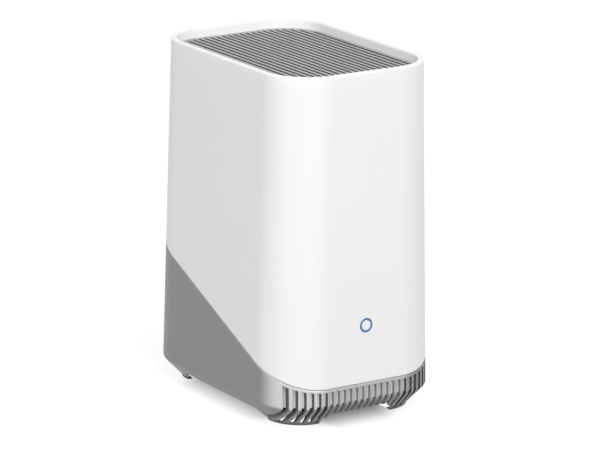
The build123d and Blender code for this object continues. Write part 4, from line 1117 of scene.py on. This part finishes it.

# %% [markdown]
# The feet are hollow, and through the slots in their walls the floor inside them shows as small
# white triangles. The floor's real shadow would hide them, so a flat patch of painted light lies on
# the floor inside each foot. It has the floor's tone, but it stays white for the eye. It belongs to the
# floor, not to the object, and it follows the inside of the foot with a little room.

# %% Floor inside the hollow feet
patch_lift = 0.05 * mm
patch_room = 0.3 * mm
patch_radius = corner_radius - undercut - foot_wall_low - patch_room
patch_x, patch_y = width / 2 - corner_radius, corner_y
lit, nodes, links, shader = pale_finish("floor_painted_light", 0.5)
# painted light: the patch glows white for the eye where the feet shade the floor
links.new(ray_mask(nodes, links), shader.inputs["Emission Strength"])


def foot_patch(bm):
    """Flat patches of painted light on the floor inside the four feet."""
    for side, end in four_corners:
        points = [(foot_gap_side, foot_gap_end)]
        for a in arc(corner_steps):
            points.append((patch_x + patch_radius * math.cos(a), patch_y + patch_radius * math.sin(a)))
        bm.faces.new([bm.verts.new((side * x, end * y, patch_lift)) for x, y in points])


patches = make_piece("floor_in_feet", foot_patch)
patches.data.materials.append(lit)
print("floor patches:", len(patches.data.polygons))

# %% [markdown]
# The world is a plain white room. The camera, and what reflects towards it, see it at full white.
# Everything else gets a dimmer light from it, so the walls keep their shading.

# %% World
room_light = 0.5
world = bpy.data.worlds.new("world")
bpy.context.scene.world = world
world.use_nodes = True
nodes, links = world.node_tree.nodes, world.node_tree.links
room, seen = nodes["Background"], nodes.new("ShaderNodeBackground")
pick = nodes.new("ShaderNodeMixShader")
room.inputs["Color"].default_value = white
room.inputs["Strength"].default_value = room_light
seen.inputs["Color"].default_value = white
links.new(ray_mask(nodes, links), pick.inputs["Fac"])
links.new(room.outputs["Background"], pick.inputs[1])
links.new(seen.outputs["Background"], pick.inputs[2])
links.new(pick.outputs["Shader"], nodes["World Output"].inputs["Surface"])
print("room light:", room_light)

# %% [markdown]
# Three soft boxes light the object, as in a small studio. The large one in front makes the front face
# the brightest. The tall one at the left lights the long side. The widest hangs above, for the rim and
# the grille. Each looks at the body's middle, and large lamps give shadows with soft edges.

# %% Lights
def softbox(name, turn, rise, distance, size, power):
    """Area light at a turn and rise round the object, facing its middle."""
    data = bpy.data.lights.new(name, "AREA")
    data.shape = "RECTANGLE"
    data.size, data.size_y = size
    data.energy = power
    light = bpy.data.objects.new(name, data)
    bpy.context.scene.collection.objects.link(light)
    a, e = math.radians(turn), math.radians(rise)
    way = Vector((math.sin(a) * math.cos(e), -math.cos(a) * math.cos(e), math.sin(e)))
    light.location = Vector((0, 0, height / 2)) + way * distance
    light.rotation_euler = way.to_track_quat("Z", "Y").to_euler()
    return light


softbox("front_box", -12, 20, 2.0, (0.9, 0.9), 14.8)
softbox("left_box", -78, 16, 1.6, (0.6, 1.0), 7.6)
softbox("top_box", 8, 62, 2.4, (1.8, 1.8), 28.5)

# %% [markdown]
# The camera stands far off with a long lens, as product pictures are taken, a little to the left
# and a little above. It rolls by half a degree, as the picture does.

# %% Camera
camera_turn = math.radians(-32.972)
camera_rise = math.radians(15.247)
camera_roll = math.radians(0.54)
camera_distance = 1.8729
camera_target = Vector((0, 0, 85.9 * mm))
camera_data = bpy.data.cameras.new("camera")
camera_data.sensor_width = 36.0
camera_data.lens = 222.03
camera_data.shift_x = 0.00957
camera = bpy.data.objects.new("camera", camera_data)
bpy.context.scene.collection.objects.link(camera)
level_share, up_share = math.cos(camera_rise), math.sin(camera_rise)
back = Vector((math.sin(camera_turn) * level_share, -math.cos(camera_turn) * level_share, up_share))
aim = back.to_track_quat("Z", "Y").to_matrix().to_4x4() @ Matrix.Rotation(camera_roll, 4, "Z")
camera.matrix_world = Matrix.Translation(camera_target + back * camera_distance) @ aim
bpy.context.scene.camera = camera
bpy.context.scene.view_settings.view_transform = "Standard"
print("camera at", [round(v, 3) for v in camera.matrix_world.translation])
